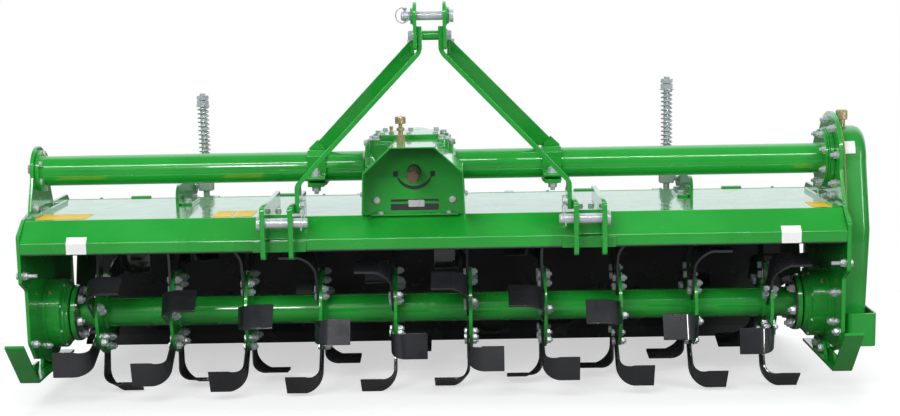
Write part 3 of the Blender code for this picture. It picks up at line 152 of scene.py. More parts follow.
def rounded(points: Sequence[Point], radius: float, closed: bool = True, steps: int = 5) -> list[Point]:
    """A polyline with its corners rounded.

    Args:
        points: the corners.
        radius: the radius wanted, held back where two corners stand close.
        closed: whether the last point joins the first.
        steps: how many chords each corner gets.

    Returns:
        The rounded polyline.
    """
    result: list[Point] = []
    for index, corner in enumerate(points):
        if not closed and index in (0, len(points) - 1):
            result.append(tuple(corner))
            continue
        here = Vector(corner)
        back = Vector(points[index - 1]) - here
        ahead = Vector(points[(index + 1) % len(points)]) - here
        angle = back.angle(ahead)
        if angle > FLAT:
            result.append(tuple(corner))
            continue
        cut = min(radius / math.tan(angle / 2), ROUNDING_SHARE * min(back.length, ahead.length))
        reach = cut * math.tan(angle / 2)
        hub = here + (back.normalized() + ahead.normalized()).normalized() * reach / math.sin(angle / 2)
        first = here + back.normalized() * cut - hub
        last = here + ahead.normalized() * cut - hub
        swing = first.angle(last)
        for step in range(steps + 1):
            share = step / steps
            spoke = (first * math.sin((1 - share) * swing) + last
                     * math.sin(share * swing)) / math.sin(swing)
            result.append(tuple(hub + spoke))
    return result


def drawn_in(loop: Sequence[Point], distance: float, closed: bool = True) -> list[Point]:
    """A polyline moved sideways to its left by a distance, with mitred corners."""
    moved = []
    last = len(loop) - 1
    for index, point in enumerate(loop):
        here = Vector(point)
        back = Vector(loop[index - 1]) if closed or index > 0 else 2 * here - Vector(loop[1])
        ahead = Vector(loop[(index
                             + 1) % len(loop)]) if closed or index < last else 2 * here - Vector(loop[-2])
        before, after = (here - back).normalized(), (ahead - here).normalized()
        first, second = Vector((-before.y, before.x)), Vector((-after.y, after.x))
        both = first + second
        moved.append(tuple(here + both * distance / max(both.dot(first), MITRE_FLOOR)))
    return moved


def sheet_outline(path: Sequence[Point], thick: float, bend: float = 0.0) -> list[Point]:
    """The outline of a bent sheet: a path with rounded bends, and the same moved THICK to its right."""
    outer = rounded(path, bend, closed=False) if bend > 0.0 else list(path)
    return outer + drawn_in(outer, -thick, closed=False)[::-1]


def stood(name: str, data: bpy.types.ID) -> bpy.types.Object:
    """Puts a new object with that mesh, lamp or lens in the scene."""
    thing = bpy.data.objects.new(name, data)
    bpy.context.scene.collection.objects.link(thing)
    return thing


def facing(at: Sequence[float], out: Sequence[float]) -> Matrix:
    """The placement of a fastener: its foot at a point, its head towards OUT."""
    return Matrix.Translation(at) @ Vector(out).to_track_quat("Z", "Y").to_matrix().to_4x4()


class Stock:
    """Closed shells gathered into one mesh, drawn with Y measured from the rotor's axis."""

    def __init__(self, name: str) -> None:
        """Starts an empty piece of that name."""
        self.name = name
        self.points: list[Vector] = []
        self.faces: list[tuple[int, ...]] = []

    def add(self, points: Iterable[Vector], faces: Iterable[Sequence[int]],
            place: Matrix = UNTURNED) -> None:
        """Adds a shell, moved by PLACE."""
        base = len(self.points)
        self.points.extend(place @ point for point in points)
        self.faces.extend(tuple(base + corner for corner in face) for face in faces)

    def skin(self, rings: Sequence[Sequence[Vector]], loop: bool = False, place: Matrix = UNTURNED) -> None:
        """Adds a shell over rings of equally many points.

        Args:
            rings: the rings in order.
            loop: whether the last ring joins the first, so that the shell needs no end faces.
            place: how the whole is moved afterwards.
        """
        count, sides = len(rings), len(rings[0])
        faces = []
        for row in range(count if loop else count - 1):
            here, after = row * sides, (row + 1) % count * sides
            for side in range(sides):
                beside = (side + 1) % sides
                faces.append((here + side, here + beside, after + beside, after + side))
        if not loop:
            faces += [tuple(range(sides)), tuple(range((count - 1) * sides, count * sides))]
        self.add([point for ring in rings for point in ring], faces, place)

    def slab(self, plane: Plane, outline: Sequence[Point], low: float, high: float,
             holes: Sequence[Sequence[Point]] = (), edge: float = 0.001, place: Matrix = UNTURNED,
             foot: float | None = None) -> None:
        """Adds a flat outline with thickness and eased rims.

        Args:
            plane: the plane of the outline.
            outline: its corners.
            low: where it starts along the third axis.
            high: where it ends.
            holes: outlines of the openings.
            edge: how far the rims are rounded.
            place: how the whole is moved afterwards.
            foot: how far the rim at LOW is rounded, where it differs.
        """
        low, high = min(low, high), max(low, high)
        edge = min(edge, (high - low) * 0.45)
        foot = edge if foot is None else foot
        loops = []
        for number, loop in enumerate([outline, *holes]):
            area = sum(a[0] * b[1] - b[0] * a[1] for a, b in zip(loop, [*loop[1:], loop[0]]))
            loops.append(list(loop) if (area > 0) == (number == 0) else list(loop)[::-1])
        turns = [math.pi / 2 * step / RIM_STEPS for step in range(RIM_STEPS + 1)]
        rows = [(foot * (1 - math.sin(turn)), low + foot * (1 - math.cos(turn))) for turn in turns]
        rows += [(edge * (1 - math.cos(turn)), high - edge * (1 - math.sin(turn))) for turn in turns]
        points, faces, caps, start = [], [], ([], []), 0
        flat: tuple[list, list] = ([], [])
        for loop in loops:
            size = len(loop)
            for distance, along in rows:
                points.extend(plane.spot(*spot, along) for spot in drawn_in(loop, distance))
            for row in range(len(rows) - 1):
                for index in range(size):
                    after = (index + 1) % size
                    low_row, high_row = start + row * size, start + (row + 1) * size
                    faces.append((low_row + index, low_row + after, high_row + after, high_row + index))
            for cap, row in ((0, 0), (1, len(rows) - 1)):
                caps[cap].extend(start + row * size + index for index in range(size))
                flat[cap].append([Vector((*p, 0.0)) for p in drawn_in(loop, rows[row][0])])
            start += size * len(rows)
        for cap in (0, 1):
            for triangle in tessellate_polygon(flat[cap]):
                faces.append(tuple(caps[cap][corner] for corner in triangle))
        self.add(points, faces, place)

    def block(self, low: Sequence[float], high: Sequence[float], corner: float = 0.003,
              plane: Plane = XY, edge: float = 0.001, place: Matrix = UNTURNED) -> None:
        """Adds a box between two corners, its upright edges rounded by CORNER and its rims by EDGE."""
        a, u, w = plane.value
        outline = rounded(oblong(low[a], high[a], low[u], high[u]), corner, steps=3)
        self.slab(plane, outline, low[w], high[w], edge=edge, place=place)

    def turned(self, plane: Plane, centre: Sequence[float], profile: Sequence[Point], segments: int = 72,
               ease: float = 0.0, place: Matrix = UNTURNED,
               radius_at: Callable[[float], float] = lambda turn: 1.0) -> None:
        """Adds a shape turned about an axis.

        Args:
            plane: the plane its circles lie in.
            centre: a point on the axis, from which ALONG is counted.
            profile: (radius, along) points, closed to a sleeve where none has radius 0.
            segments: how many sides a ring has.
            ease: how far the profile's corners are rounded.
            place: how the whole is moved afterwards.
            radius_at: what each radius is multiplied by at an angle.
        """
        sleeve = min(radius for radius, _ in profile) > AXIS_RADIUS
        line = rounded(profile, ease, closed=sleeve, steps=3) if ease > 0.0 else list(profile)
        turns = [2 * math.pi * index / segments for index in range(segments)]
        a, u, w = (centre[axis] for axis in plane.value)
        rings = [[plane.spot(a + radius * radius_at(turn) * math.cos(turn),
                             u + radius * radius_at(turn) * math.sin(turn), w + along) for turn in turns]
                 for radius, along in line if radius > AXIS_RADIUS]
        self.skin(rings, loop=sleeve, place=place)

    def hexagon(self, place: Matrix, across: float, low: float, high: float) -> None:
        """Adds a hexagon head or nut with its corners chamfered, from LOW to HIGH along the placement."""
        half, sides = across / 2, 24
        turns = [2 * math.pi * index / sides for index in range(sides)]
        rings = []
        for row in range(4):
            ring = []
            for turn in turns:
                corner = half / math.cos(turn % (math.pi / 3) - math.pi / 6)
                drop = (corner - half) * 0.6
                radius = half * 0.94 if row in (0, 3) else corner
                along = (low, low + drop, high - drop, high)[row]
                ring.append(Vector((radius * math.cos(turn), radius * math.sin(turn), along)))
            rings.append(ring)
        self.skin(rings, place=place)

    def thread(self, place: Matrix, radius: float, low: float, high: float, pitch: float = 0.0018) -> None:
        """Adds a threaded end with a chamfered tip, from LOW to HIGH along the placement."""
        crests = max(1, int((high - low) / pitch))
        step = (high - low) / crests
        profile = [(0.0, low)]
        for crest in range(crests):
            profile += [(radius * 0.88, low + step * crest), (radius, low + step * (crest + 0.5))]
        profile += [(radius * 0.82, high), (0.0, high)]
        self.turned(XY, (0.0, 0.0, 0.0), profile, segments=18, place=place)

    def washer(self, place: Matrix, size: float, low: float, high: float) -> None:
        """Adds a washer for a bolt of diameter SIZE."""
        self.turned(XY, (0.0, 0.0, 0.0), oblong(0.0, size * 1.08, low, high), segments=28,
                    ease=0.0004, place=place)

    def bolt(self, at: Sequence[float], out: Sequence[float], size: float, washer: bool = True,
             sunk: float = 0.0005) -> None:
        """Adds a hexagon head of a bolt of diameter SIZE, on its washer."""
        place = facing(at, out)
        flange = size * 0.2 if washer else 0.0
        if washer:
            self.washer(place, size, -sunk, flange)
        self.hexagon(place, size * 1.6, flange - sunk, flange + size * 0.66)

    def nut(self, at: Sequence[float], out: Sequence[float], size: float, tail: float = 0.5) -> None:
        """Adds a nut of a bolt of diameter SIZE on its washer, with the thread's end TAIL sizes past it."""
        place = facing(at, out)
        self.washer(place, size, -0.0005, size * 0.18)
        self.hexagon(place, size * 1.6, size * 0.16, size * 1.02)
        if tail > 0.0:
            self.thread(place, size / 2, size * 0.98, size * (1.02 + tail))

    def wire(self, path: Sequence[Sequence[float]], radius: float, sides: int = 12) -> None:
        """Adds a round wire of that radius along a path."""
        line = [Vector(point) for point in path]
        rings = []
        normal = Vector(UP)
        for index, here in enumerate(line):
            ahead = line[min(index + 1, len(line) - 1)]
            back = line[max(index - 1, 0)]
            tangent = (ahead - back).normalized()
            if index == 0 and abs(tangent.dot(normal)) > 0.9:
                normal = Vector((1.0, 0.0, 0.0))
            normal = (normal - tangent * normal.dot(tangent)).normalized()
            other = tangent.cross(normal)
            turns = [2 * math.pi * side / sides for side in range(sides)]
            rings.append([here + (normal * math.cos(turn) + other * math.sin(turn)) * radius
                          for turn in turns])
        self.skin(rings)

    def done(self, body: str, finish: "Finish", *nodes: str) -> bpy.types.Object:
        """Makes the piece.

        Args:
            body: the CAD body it rides on.
            finish: its finish.
            nodes: the CAD nodes it stands for.

        Returns:
            The piece's object.
        """
        mesh = bpy.data.meshes.new(self.name)
        mesh.from_pydata([(p.x, p.y + AXIS_Y, p.z) for p in self.points], [], self.faces)
        work = bmesh.new()
        work.from_mesh(mesh)
        bmesh.ops.recalc_face_normals(work, faces=work.faces)
        work.to_mesh(mesh)
        work.free()
        mesh.shade_smooth()
        mesh.set_sharp_from_angle(angle=SHARP)
        mesh.materials.append(finish.material)
        piece = stood(self.name, mesh)
        normals = piece.modifiers.new("weighted_normals", "WEIGHTED_NORMAL")
        normals.keep_sharp = True
        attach(piece, body)
        if nodes:
            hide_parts(*nodes)
        LOG.info("%s rides on %s: %d faces", self.name, body, len(mesh.polygons))
        return piece


# Shader node groups, each built once and placed in several materials

MID_GREY, PURE_WHITE = (0.5, 0.5, 0.5, 1.0), (1.0, 1.0, 1.0, 1.0)

class Nodes:
    """A node tree with short ways to add and link its nodes."""

    def __init__(self, tree: bpy.types.NodeTree) -> None:
        """Wraps a tree."""
        self.tree = tree

    def add(self, kind: str, values: dict[str | int, object] | None = None,
            **settings: object) -> bpy.types.Node:
        """Adds a node.

        Args:
            kind: its type without the leading ShaderNode.
            values: what its sockets hold, or the output sockets linked to them.
            settings: its own properties.

        Returns:
            The node.
        """
        node = self.tree.nodes.new(kind if kind.startswith("Node") else "ShaderNode" + kind)
        for name, value in settings.items():
            setattr(node, name, value)
        for name, value in (values or {}).items():
            self.put(node.inputs[name], value)
        return node

    def put(self, socket: Socket, value: object) -> None:
        """Links a socket to VALUE where that is an output, or sets it."""
        if isinstance(value, Socket):
            self.tree.links.new(value, socket)
        else:
            socket.default_value = value

    def product(self, first: Socket, second: Socket, clamped: bool = False) -> Socket:
        """One value times another."""
        return self.add("Math", {0: first, 1: second}, operation="MULTIPLY", use_clamp=clamped).outputs[0]

    def noise(self, scale: float | Socket, detail: float, where: Socket) -> Socket:
        """A noise value between 0 and 1 at a place."""
        return self.add("TexNoise", {"Scale": scale, "Detail": detail, "Vector": where}).outputs["Fac"]

    def ramp(self, value: Socket, low: float, high: float, first: float | Socket = 0.0,
             last: float | Socket = 1.0) -> Socket:
        """VALUE between LOW and HIGH, spread from FIRST to LAST and held there."""
        node = self.add("MapRange", {"Value": value, "From Min": low, "From Max": high, "To Min": first,
                                     "To Max": last}, interpolation_type="SMOOTHSTEP")
        return node.outputs["Result"]

    def mixed(self, share: float | Socket, first: object, second: object) -> Socket:
        """A colour between two."""
        return self.add("Mix", {"Factor": share, 6: first, 7: second}, data_type="RGBA").outputs[2]


def group(name: str, inputs: dict[str, tuple[str, object]],
          outputs: dict[str, str]) -> tuple[Nodes, dict, bpy.types.Node]:
    """A new shader node group.

    Args:
        name: its name.
        inputs: socket name to its kind and default.
        outputs: socket name to its kind.

    Returns:
        Its nodes, its input sockets by name, and its output node.
    """
    tree = bpy.data.node_groups.new(name, "ShaderNodeTree")
    for label, (kind, value) in inputs.items():
        socket = tree.interface.new_socket(label, in_out="INPUT", socket_type="NodeSocket" + kind)
        socket.default_value = value
    for label, kind in outputs.items():
        tree.interface.new_socket(label, in_out="OUTPUT", socket_type="NodeSocket" + kind)
    nodes = Nodes(tree)
    start = nodes.add("NodeGroupInput")
    return nodes, {label: start.outputs[label] for label in inputs}, nodes.add("NodeGroupOutput")


def skin_group() -> bpy.types.NodeTree:
    """Builds the coating's skin: a cloudy tint, a varying roughness, and the height of ripple and grit."""
    nodes, take, give = group(
        "coating_skin",
        {"Colour": ("Color", MID_GREY), "Tint": ("Color", MID_GREY),
         "Roughness": ("Float", 0.3), "Spread": ("Float", 0.06), "Ripple Scale": ("Float", 300.0),
         "Grit Scale": ("Float", 1500.0), "Grit Share": ("Float", 0.3)},
        {"Colour": "Color", "Roughness": "Float", "Height": "Float"})
    where = nodes.add("NewGeometry").outputs["Position"]
    cloud = nodes.noise(5.0, 4.0, where)
    tone = nodes.mixed(nodes.ramp(cloud, 0.35, 0.65), take["Colour"], take["Tint"])
    nodes.put(give.inputs["Colour"], tone)
    smear = nodes.ramp(nodes.noise(14.0, 5.0, where), 0.3, 0.7, -1.0, 1.0)
    rough = nodes.add("Math", {0: smear, 1: take["Spread"], 2: take["Roughness"]}, operation="MULTIPLY_ADD")
    nodes.put(give.inputs["Roughness"], rough.outputs[0])
    ripple = nodes.noise(take["Ripple Scale"], 2.0, where)
    grit = nodes.noise(take["Grit Scale"], 2.0, where)
    height = nodes.add("Math", {0: grit, 1: take["Grit Share"], 2: ripple}, operation="MULTIPLY_ADD")
    nodes.put(give.inputs["Height"], height.outputs[0])
    return nodes.tree


def dust_group() -> bpy.types.NodeTree:
    """Builds the dust veil: pale dust that lies in patches on what looks up."""
    nodes, take, give = group("dust_veil", {"Colour": ("Color", MID_GREY), "Dust": ("Color", MID_GREY),
                                            "Amount": ("Float", 0.1)}, {"Colour": "Color"})
    place = nodes.add("NewGeometry")
    up = nodes.add("SeparateXYZ", {0: place.outputs["Normal"]}).outputs["Z"]
    lying = nodes.ramp(up, 0.2, 0.95)
    patch = nodes.ramp(nodes.noise(9.0, 6.0, place.outputs["Position"]), 0.42, 0.62, 0.25, 1.0)
    speck = nodes.ramp(nodes.noise(420.0, 1.0, place.outputs["Position"]), 0.45, 0.6, 0.5, 1.0)
    laid = nodes.product(nodes.product(patch, speck), lying)
    share = nodes.product(laid, take["Amount"], clamped=True)
    nodes.put(give.inputs["Colour"], nodes.mixed(share, take["Colour"], take["Dust"]))
    return nodes.tree


def wear_group() -> bpy.types.NodeTree:
    """Builds the edge wear: a mask along the edges, broken up by noise."""
    nodes, take, give = group(
        "edge_wear", {"Width": ("Float", 0.002), "Amount": ("Float", 0.5)}, {"Mask": "Float"})
    place = nodes.add("NewGeometry")
    soft = nodes.add("Bevel", {"Radius": take["Width"]}, samples=3)
    same = nodes.add("VectorMath", {0: soft.outputs[0], 1: place.outputs["Normal"]},
                     operation="DOT_PRODUCT")
    edge = nodes.ramp(same.outputs["Value"], 0.90, 0.995, 1.0, 0.0)
    broken = nodes.ramp(nodes.noise(55.0, 6.0, place.outputs["Position"]), 0.47, 0.60)
    nodes.put(give.inputs["Mask"], nodes.product(nodes.product(edge, broken), take["Amount"], clamped=True))
    return nodes.tree


SKIN, DUST, WEAR = skin_group(), dust_group(), wear_group()
DUST_COLOUR: Triple = (0.42, 0.42, 0.38)
# Painted shade on faces inside the hood: its dark colour, how squarely a face looks its way where it starts
# and is full, and its fade
UNDERSIDE_PAINTED_SHADE: Triple = (0.070, 0.074, 0.070)
PAINTED_SHADE_FROM, PAINTED_SHADE_FULL, PAINTED_SHADE_FADE = 0.28, 0.36, 0.002


@dataclass(frozen=True)
class Finish:
    """One finish of the machine, made into a material once.

    The colour is mixed with its tint by a slow cloud, dusted, worn along the edges, and on some finishes
    darkened by painted shade on faces that look one way.
    """

    name: str
    slot: str
    colour: Triple
    tint: Triple
    roughness: float
    spread: float = 0.06
    metallic: float = 0.0
    ripple: tuple[float, float] = (300.0, 0.00006)
    grit: tuple[float, float] = (1500.0, 0.3)
    coat: float = 0.0
    coat_roughness: float = 0.05
    coat_ior: float = 1.5
    dust: float = 0.08
    worn: Triple | None = None
    worn_metal: float = 0.0
    worn_width: float = 0.0015
    worn_amount: float = 0.6
    # Painted shade: the direction that shaded inner faces look, and the height below which they are darkened
    painted_shade_facing: Triple | None = None
    painted_shade_top: float = 9.0

    @property
    def material(self) -> bpy.types.Material:
        """The finish's material, built when it is first asked for."""
        return bpy.data.materials.get(self.name) or self.build()

    def build(self) -> bpy.types.Material:
        """Builds the material.

        Returns:
            A Principled material fed by the shared groups.
        """
        result = bpy.data.materials.new(self.name)
        result.use_nodes = True
        nodes = Nodes(result.node_tree)
        shader = result.node_tree.nodes["Principled BSDF"]
        skin = nodes.add("Group", {
            "Colour": (*self.colour, 1.0), "Tint": (*self.tint, 1.0), "Roughness": self.roughness,
            "Spread": self.spread, "Ripple Scale": self.ripple[0], "Grit Scale": self.grit[0],
            "Grit Share": self.grit[1]}, node_tree=SKIN)
        colour = skin.outputs["Colour"]
        metal = self.metallic
        if self.worn is not None:
            wear = nodes.add("Group", {"Width": self.worn_width, "Amount": self.worn_amount},
                             node_tree=WEAR)
            colour = nodes.mixed(wear.outputs["Mask"], colour, (*self.worn, 1.0))
            metal = nodes.ramp(wear.outputs["Mask"], 0.0, 1.0, self.metallic, self.worn_metal)
        # Painted shade: faces that look along the given direction, below the given height, are darkened to
        # the shade colour
        if self.painted_shade_facing is not None:
            place = nodes.add("TexCoord")
            inward = nodes.add("VectorMath", {0: place.outputs["Normal"], 1: self.painted_shade_facing},
                               operation="DOT_PRODUCT").outputs["Value"]
            height = nodes.add("SeparateXYZ", {0: place.outputs["Object"]}).outputs["Z"]
            share = nodes.ramp(height, self.painted_shade_top - PAINTED_SHADE_FADE, self.painted_shade_top, 1.0, 0.0)
            share = nodes.ramp(inward, PAINTED_SHADE_FROM, PAINTED_SHADE_FULL, 0.0, share)
            colour = nodes.mixed(share, colour, (*UNDERSIDE_PAINTED_SHADE, 1.0))
        veil = nodes.add("Group", {"Colour": colour, "Dust": (*DUST_COLOUR, 1.0), "Amount": self.dust},
                         node_tree=DUST)
        bump = nodes.add("Bump", {"Height": skin.outputs["Height"], "Distance": self.ripple[1],
                                  "Strength": 1.0})
        for name, value in (("Metallic", metal), ("Base Color", veil.outputs["Colour"]),
                            ("Roughness", skin.outputs["Roughness"]), ("Normal", bump.outputs["Normal"]),
                            ("Coat Weight", self.coat), ("Coat Roughness", self.coat_roughness),
                            ("Coat IOR", self.coat_ior)):
            nodes.put(shader.inputs[name], value)
        return result


GREEN = Finish("green_gloss", "green_paint", (0.010, 0.300, 0.026), (0.014, 0.340, 0.034), 0.24,
               spread=0.04, ripple=(220.0, 0.000025), coat=1.0, coat_ior=1.65, dust=0.01)
# Gloss green with painted shade: near-black on the hood's underside, and on the board's forward face below
# the hood
HOOD_GREEN_PAINTED_SHADE = replace(GREEN, name="green_hood_painted_shade", painted_shade_facing=(0.0, 0.0, -1.0))
BOARD_GREEN_PAINTED_SHADE = replace(GREEN, name="green_board_painted_shade", painted_shade_facing=(0.0, -1.0, 0.0), painted_shade_top=0.535)
CAST = Finish("green_cast", "green_paint", (0.014, 0.280, 0.030), (0.018, 0.320, 0.038), 0.30,
              spread=0.06, ripple=(140.0, 0.00014), grit=(700.0, 0.6), coat=0.9, coat_ior=1.6,
              coat_roughness=0.07, dust=0.03)
BLACK = Finish("black_blade_steel", "black_blade", (0.012, 0.012, 0.015), (0.022, 0.022, 0.027), 0.30,
               spread=0.10, metallic=0.1, ripple=(160.0, 0.00005), coat=1.0, coat_ior=2.0,
               coat_roughness=0.06, dust=0.02, worn=(0.10, 0.10, 0.11), worn_metal=0.8, worn_amount=0.5)
ZINC = Finish("zinc_plate", "zinc", (0.70, 0.73, 0.76), (0.58, 0.61, 0.65), 0.24, spread=0.08,
              metallic=0.45, ripple=(260.0, 0.00003), grit=(1800.0, 0.6), dust=0.05)
BRASS = Finish("bronze_cap", "brass", (0.50, 0.40, 0.20), (0.60, 0.52, 0.30), 0.30, spread=0.10,
               metallic=0.6, ripple=(420.0, 0.00004), dust=0.05)
STEEL = Finish("oiled_steel", "steel", (0.26, 0.20, 0.15), (0.16, 0.10, 0.06), 0.42, spread=0.14,
               metallic=0.7, ripple=(300.0, 0.0001), dust=0.05, worn=(0.45, 0.42, 0.38), worn_metal=1.0,
               worn_amount=0.8)
GASKET = Finish("gasket_paste", "brass", (0.40, 0.36, 0.12), (0.30, 0.28, 0.10), 0.60, dust=0.05)
WHITE = Finish("white_label", "zinc", (0.86, 0.86, 0.86), (0.80, 0.80, 0.80), 0.35, spread=0.03,
               ripple=(600.0, 0.00001), coat=0.4, coat_roughness=0.1, dust=0.0)
YELLOW = Finish("yellow_label", "brass", (0.86, 0.55, 0.01), (0.80, 0.50, 0.01), 0.60, spread=0.03,
                ripple=(600.0, 0.00001), coat=0.2, coat_roughness=0.2, dust=0.0)
SILVER = Finish("silver_plate", "zinc", (0.66, 0.67, 0.68), (0.58, 0.59, 0.60), 0.28, metallic=0.3,
                dust=0.02)


# The frame's sub-assemblies. Their sizes are those of the CAD source, in metres, with Y from the rotor's axis

@dataclass
class Hood:
    """The folded hood sheet, its end angles, and the beam inside its nose."""

    left: float = INNER[0] + SEAT
    right: float = INNER[1] - SEAT
    sheet: float = 0.006
    deck: float = DECK - SEAT
    rear: float = 0.225
    lip: float = 0.035
    fold: float = -0.213
    front: float = -0.275
    nose_top: float = 0.516
    nose_bottom: float = 0.480
    angle_leg: float = 0.026

    def build(self) -> None:
        """Builds the hood's pieces."""
        self.shell()
        self.end_angles()
        self.beam()

    def shell(self) -> None:
        """The sheet from its rear lip over the deck and down the nose, with pressed bends."""
        stock = Stock("hood_shell")
        path = [(self.front + 0.038, self.nose_bottom), (self.front, self.nose_bottom),
                (self.front, self.nose_top), (self.fold, self.deck), (self.rear, self.deck),
                (self.rear, self.deck - self.lip)]
        stock.slab(YZ, sheet_outline(path, self.sheet, 0.009), self.left, self.right, edge=0.0008)
        # The hood's underside carries painted shade
        stock.done("frame", HOOD_GREEN_PAINTED_SHADE, "hood")

    def end_angles(self) -> None:
        """An angle strip and its bolts along each end of the deck."""
        stock, bolts = Stock("hood_end_angles"), Stock("hood_end_bolts")
        for sign, end in ((-1, self.left), (1, self.right)):
            leg = [(0.0, 0.0), (self.angle_leg, 0.0), (self.angle_leg, 0.009), (0.020, 0.010),
                   (0.018, 0.004), (0.0, 0.004)]
            stock.slab(XZ, moved(leg, (end, -sign), (self.deck, 1.0)), self.fold + 0.012, 0.150,
                       edge=0.0008)
            for along in (-0.045, 0.085):
                bolts.bolt((end - sign * 0.010, along, self.deck + 0.0045), UP, M8)
        stock.done("frame", GREEN)
        bolts.done("frame", ZINC)

    def beam(self) -> None:
        """The folded beam inside the nose."""
        stock = Stock("hood_nose_beam")
        low, front, wide, high, wall = self.nose_bottom + 0.0063, self.front + 0.0063, 0.052, 0.046, 0.005
        rear, top, slope = front + wide, low + high, front + high - wall
        outer = [(front, low), (rear, low), (rear, top), (slope, top), (front, self.nose_top - wall)]
        inner = [(front + wall, low + wall), (rear - wall, low + wall), (rear - wall, top - wall),
                 (slope, top - wall), (front + wall, self.nose_top - 2 * wall)]
        stock.slab(YZ, rounded(outer, 0.006), self.left, self.right, holes=[inner])
        stock.done("frame", GREEN, "front_beam")


@dataclass
class EndPlates:
    """The two side plates with their bolts."""

    faces: tuple[Point, Point] = (LEFT_PLATE, RIGHT_PLATE)
    head_radius: tuple[float, float] = (0.075, 0.139)
    tube: Point = TUBE
    step: float = -0.223
    front: float = -0.275
    rear: float = 0.268
    toe: float = 0.150
    neck: Point = (0.043, 0.589)

    def outline(self, head: float) -> list[Point]:
        """A plate's outline, its head an arc about the torque tube."""
        out, up = self.neck
        corners = [(self.step, 0.212), (self.step, 0.370), (self.front, 0.400), (self.front, 0.538),
                   (-0.213, 0.577), (self.tube[0] - head - out, up)]
        tail = [(self.tube[0] + head + out, up), (self.rear - 0.020, up), (self.rear, up - 0.020),
                (self.rear, 0.285)]
        return [*rounded(corners, 0.012, closed=False), *arc(self.tube, head, 190.0, -5.0, 40),
                *rounded(tail, 0.012, closed=False), *arc(ROTOR, self.toe, -30.0, -125.0, 36),
                (-0.175, 0.155)]

    def build(self) -> None:
        """Builds both plates, the bolts through them, and the left bearing's cap."""
        bolts = Stock("side_plate_bolts")
        for side, (low, high), head in zip(Side, self.faces, self.head_radius):
            plate = Stock("end_plate_" + side.word)
            plate.slab(YZ, self.outline(head), low, high, edge=0.0016)
            plate.done("frame", GREEN, "side_plate_" + side.word)
            inner, outer = (high, low) if side is Side.LEFT else (low, high)
            inward, outward = (-side.value, 0, 0), (side.value, 0, 0)
            # Long bolts that hold the hood's skirt, with their thread ends inwards
            for spot in ((-0.250, 0.419), (0.200, 0.470)):
                bolts.nut((inner, *spot), inward, M12, tail=2.2)
                bolts.bolt((outer, *spot), outward, M12)
            nuts = [(-0.150, 0.312), (-0.131, 0.221), (-0.190, 0.204), (0.128, 0.305)]
            if side is Side.LEFT:
                # The flange bolts of the torque tube and of the bearing
                for spot in (*circle(self.tube, 0.050, 5, 90.0), *circle(ROTOR, 0.094, 8, 22.5)):
                    bolts.bolt((outer, *spot), outward, M12)
                bolts.nut((outer, *self.tube), outward, M16, tail=0.6)
                nuts = nuts[2:]
                for across in (-0.060, 0.060):
                    bolts.nut((inner, across, 0.170), inward, M12, tail=0.4)
            for spot in nuts:
                bolts.nut((inner, *spot), inward, M12, tail=0.5)
            bolts.bolt((inner, -0.111, 0.596), inward, M12)
        self.hub_cap()
        bolts.done("frame", ZINC)

    def hub_cap(self) -> None:
        """The dished cap over the left bearing."""
        stock = Stock("left_hub_caps")
        outer = self.faces[0][0]
        profile = [(0.0, -0.006), (0.030, -0.006), (0.034, -0.002), (0.076, -0.002), (0.078, 0.001),
                   (0.0, 0.001)]
        stock.turned(YZ, (outer, *ROTOR), profile, ease=0.0015)
        stock.done("frame", CAST)


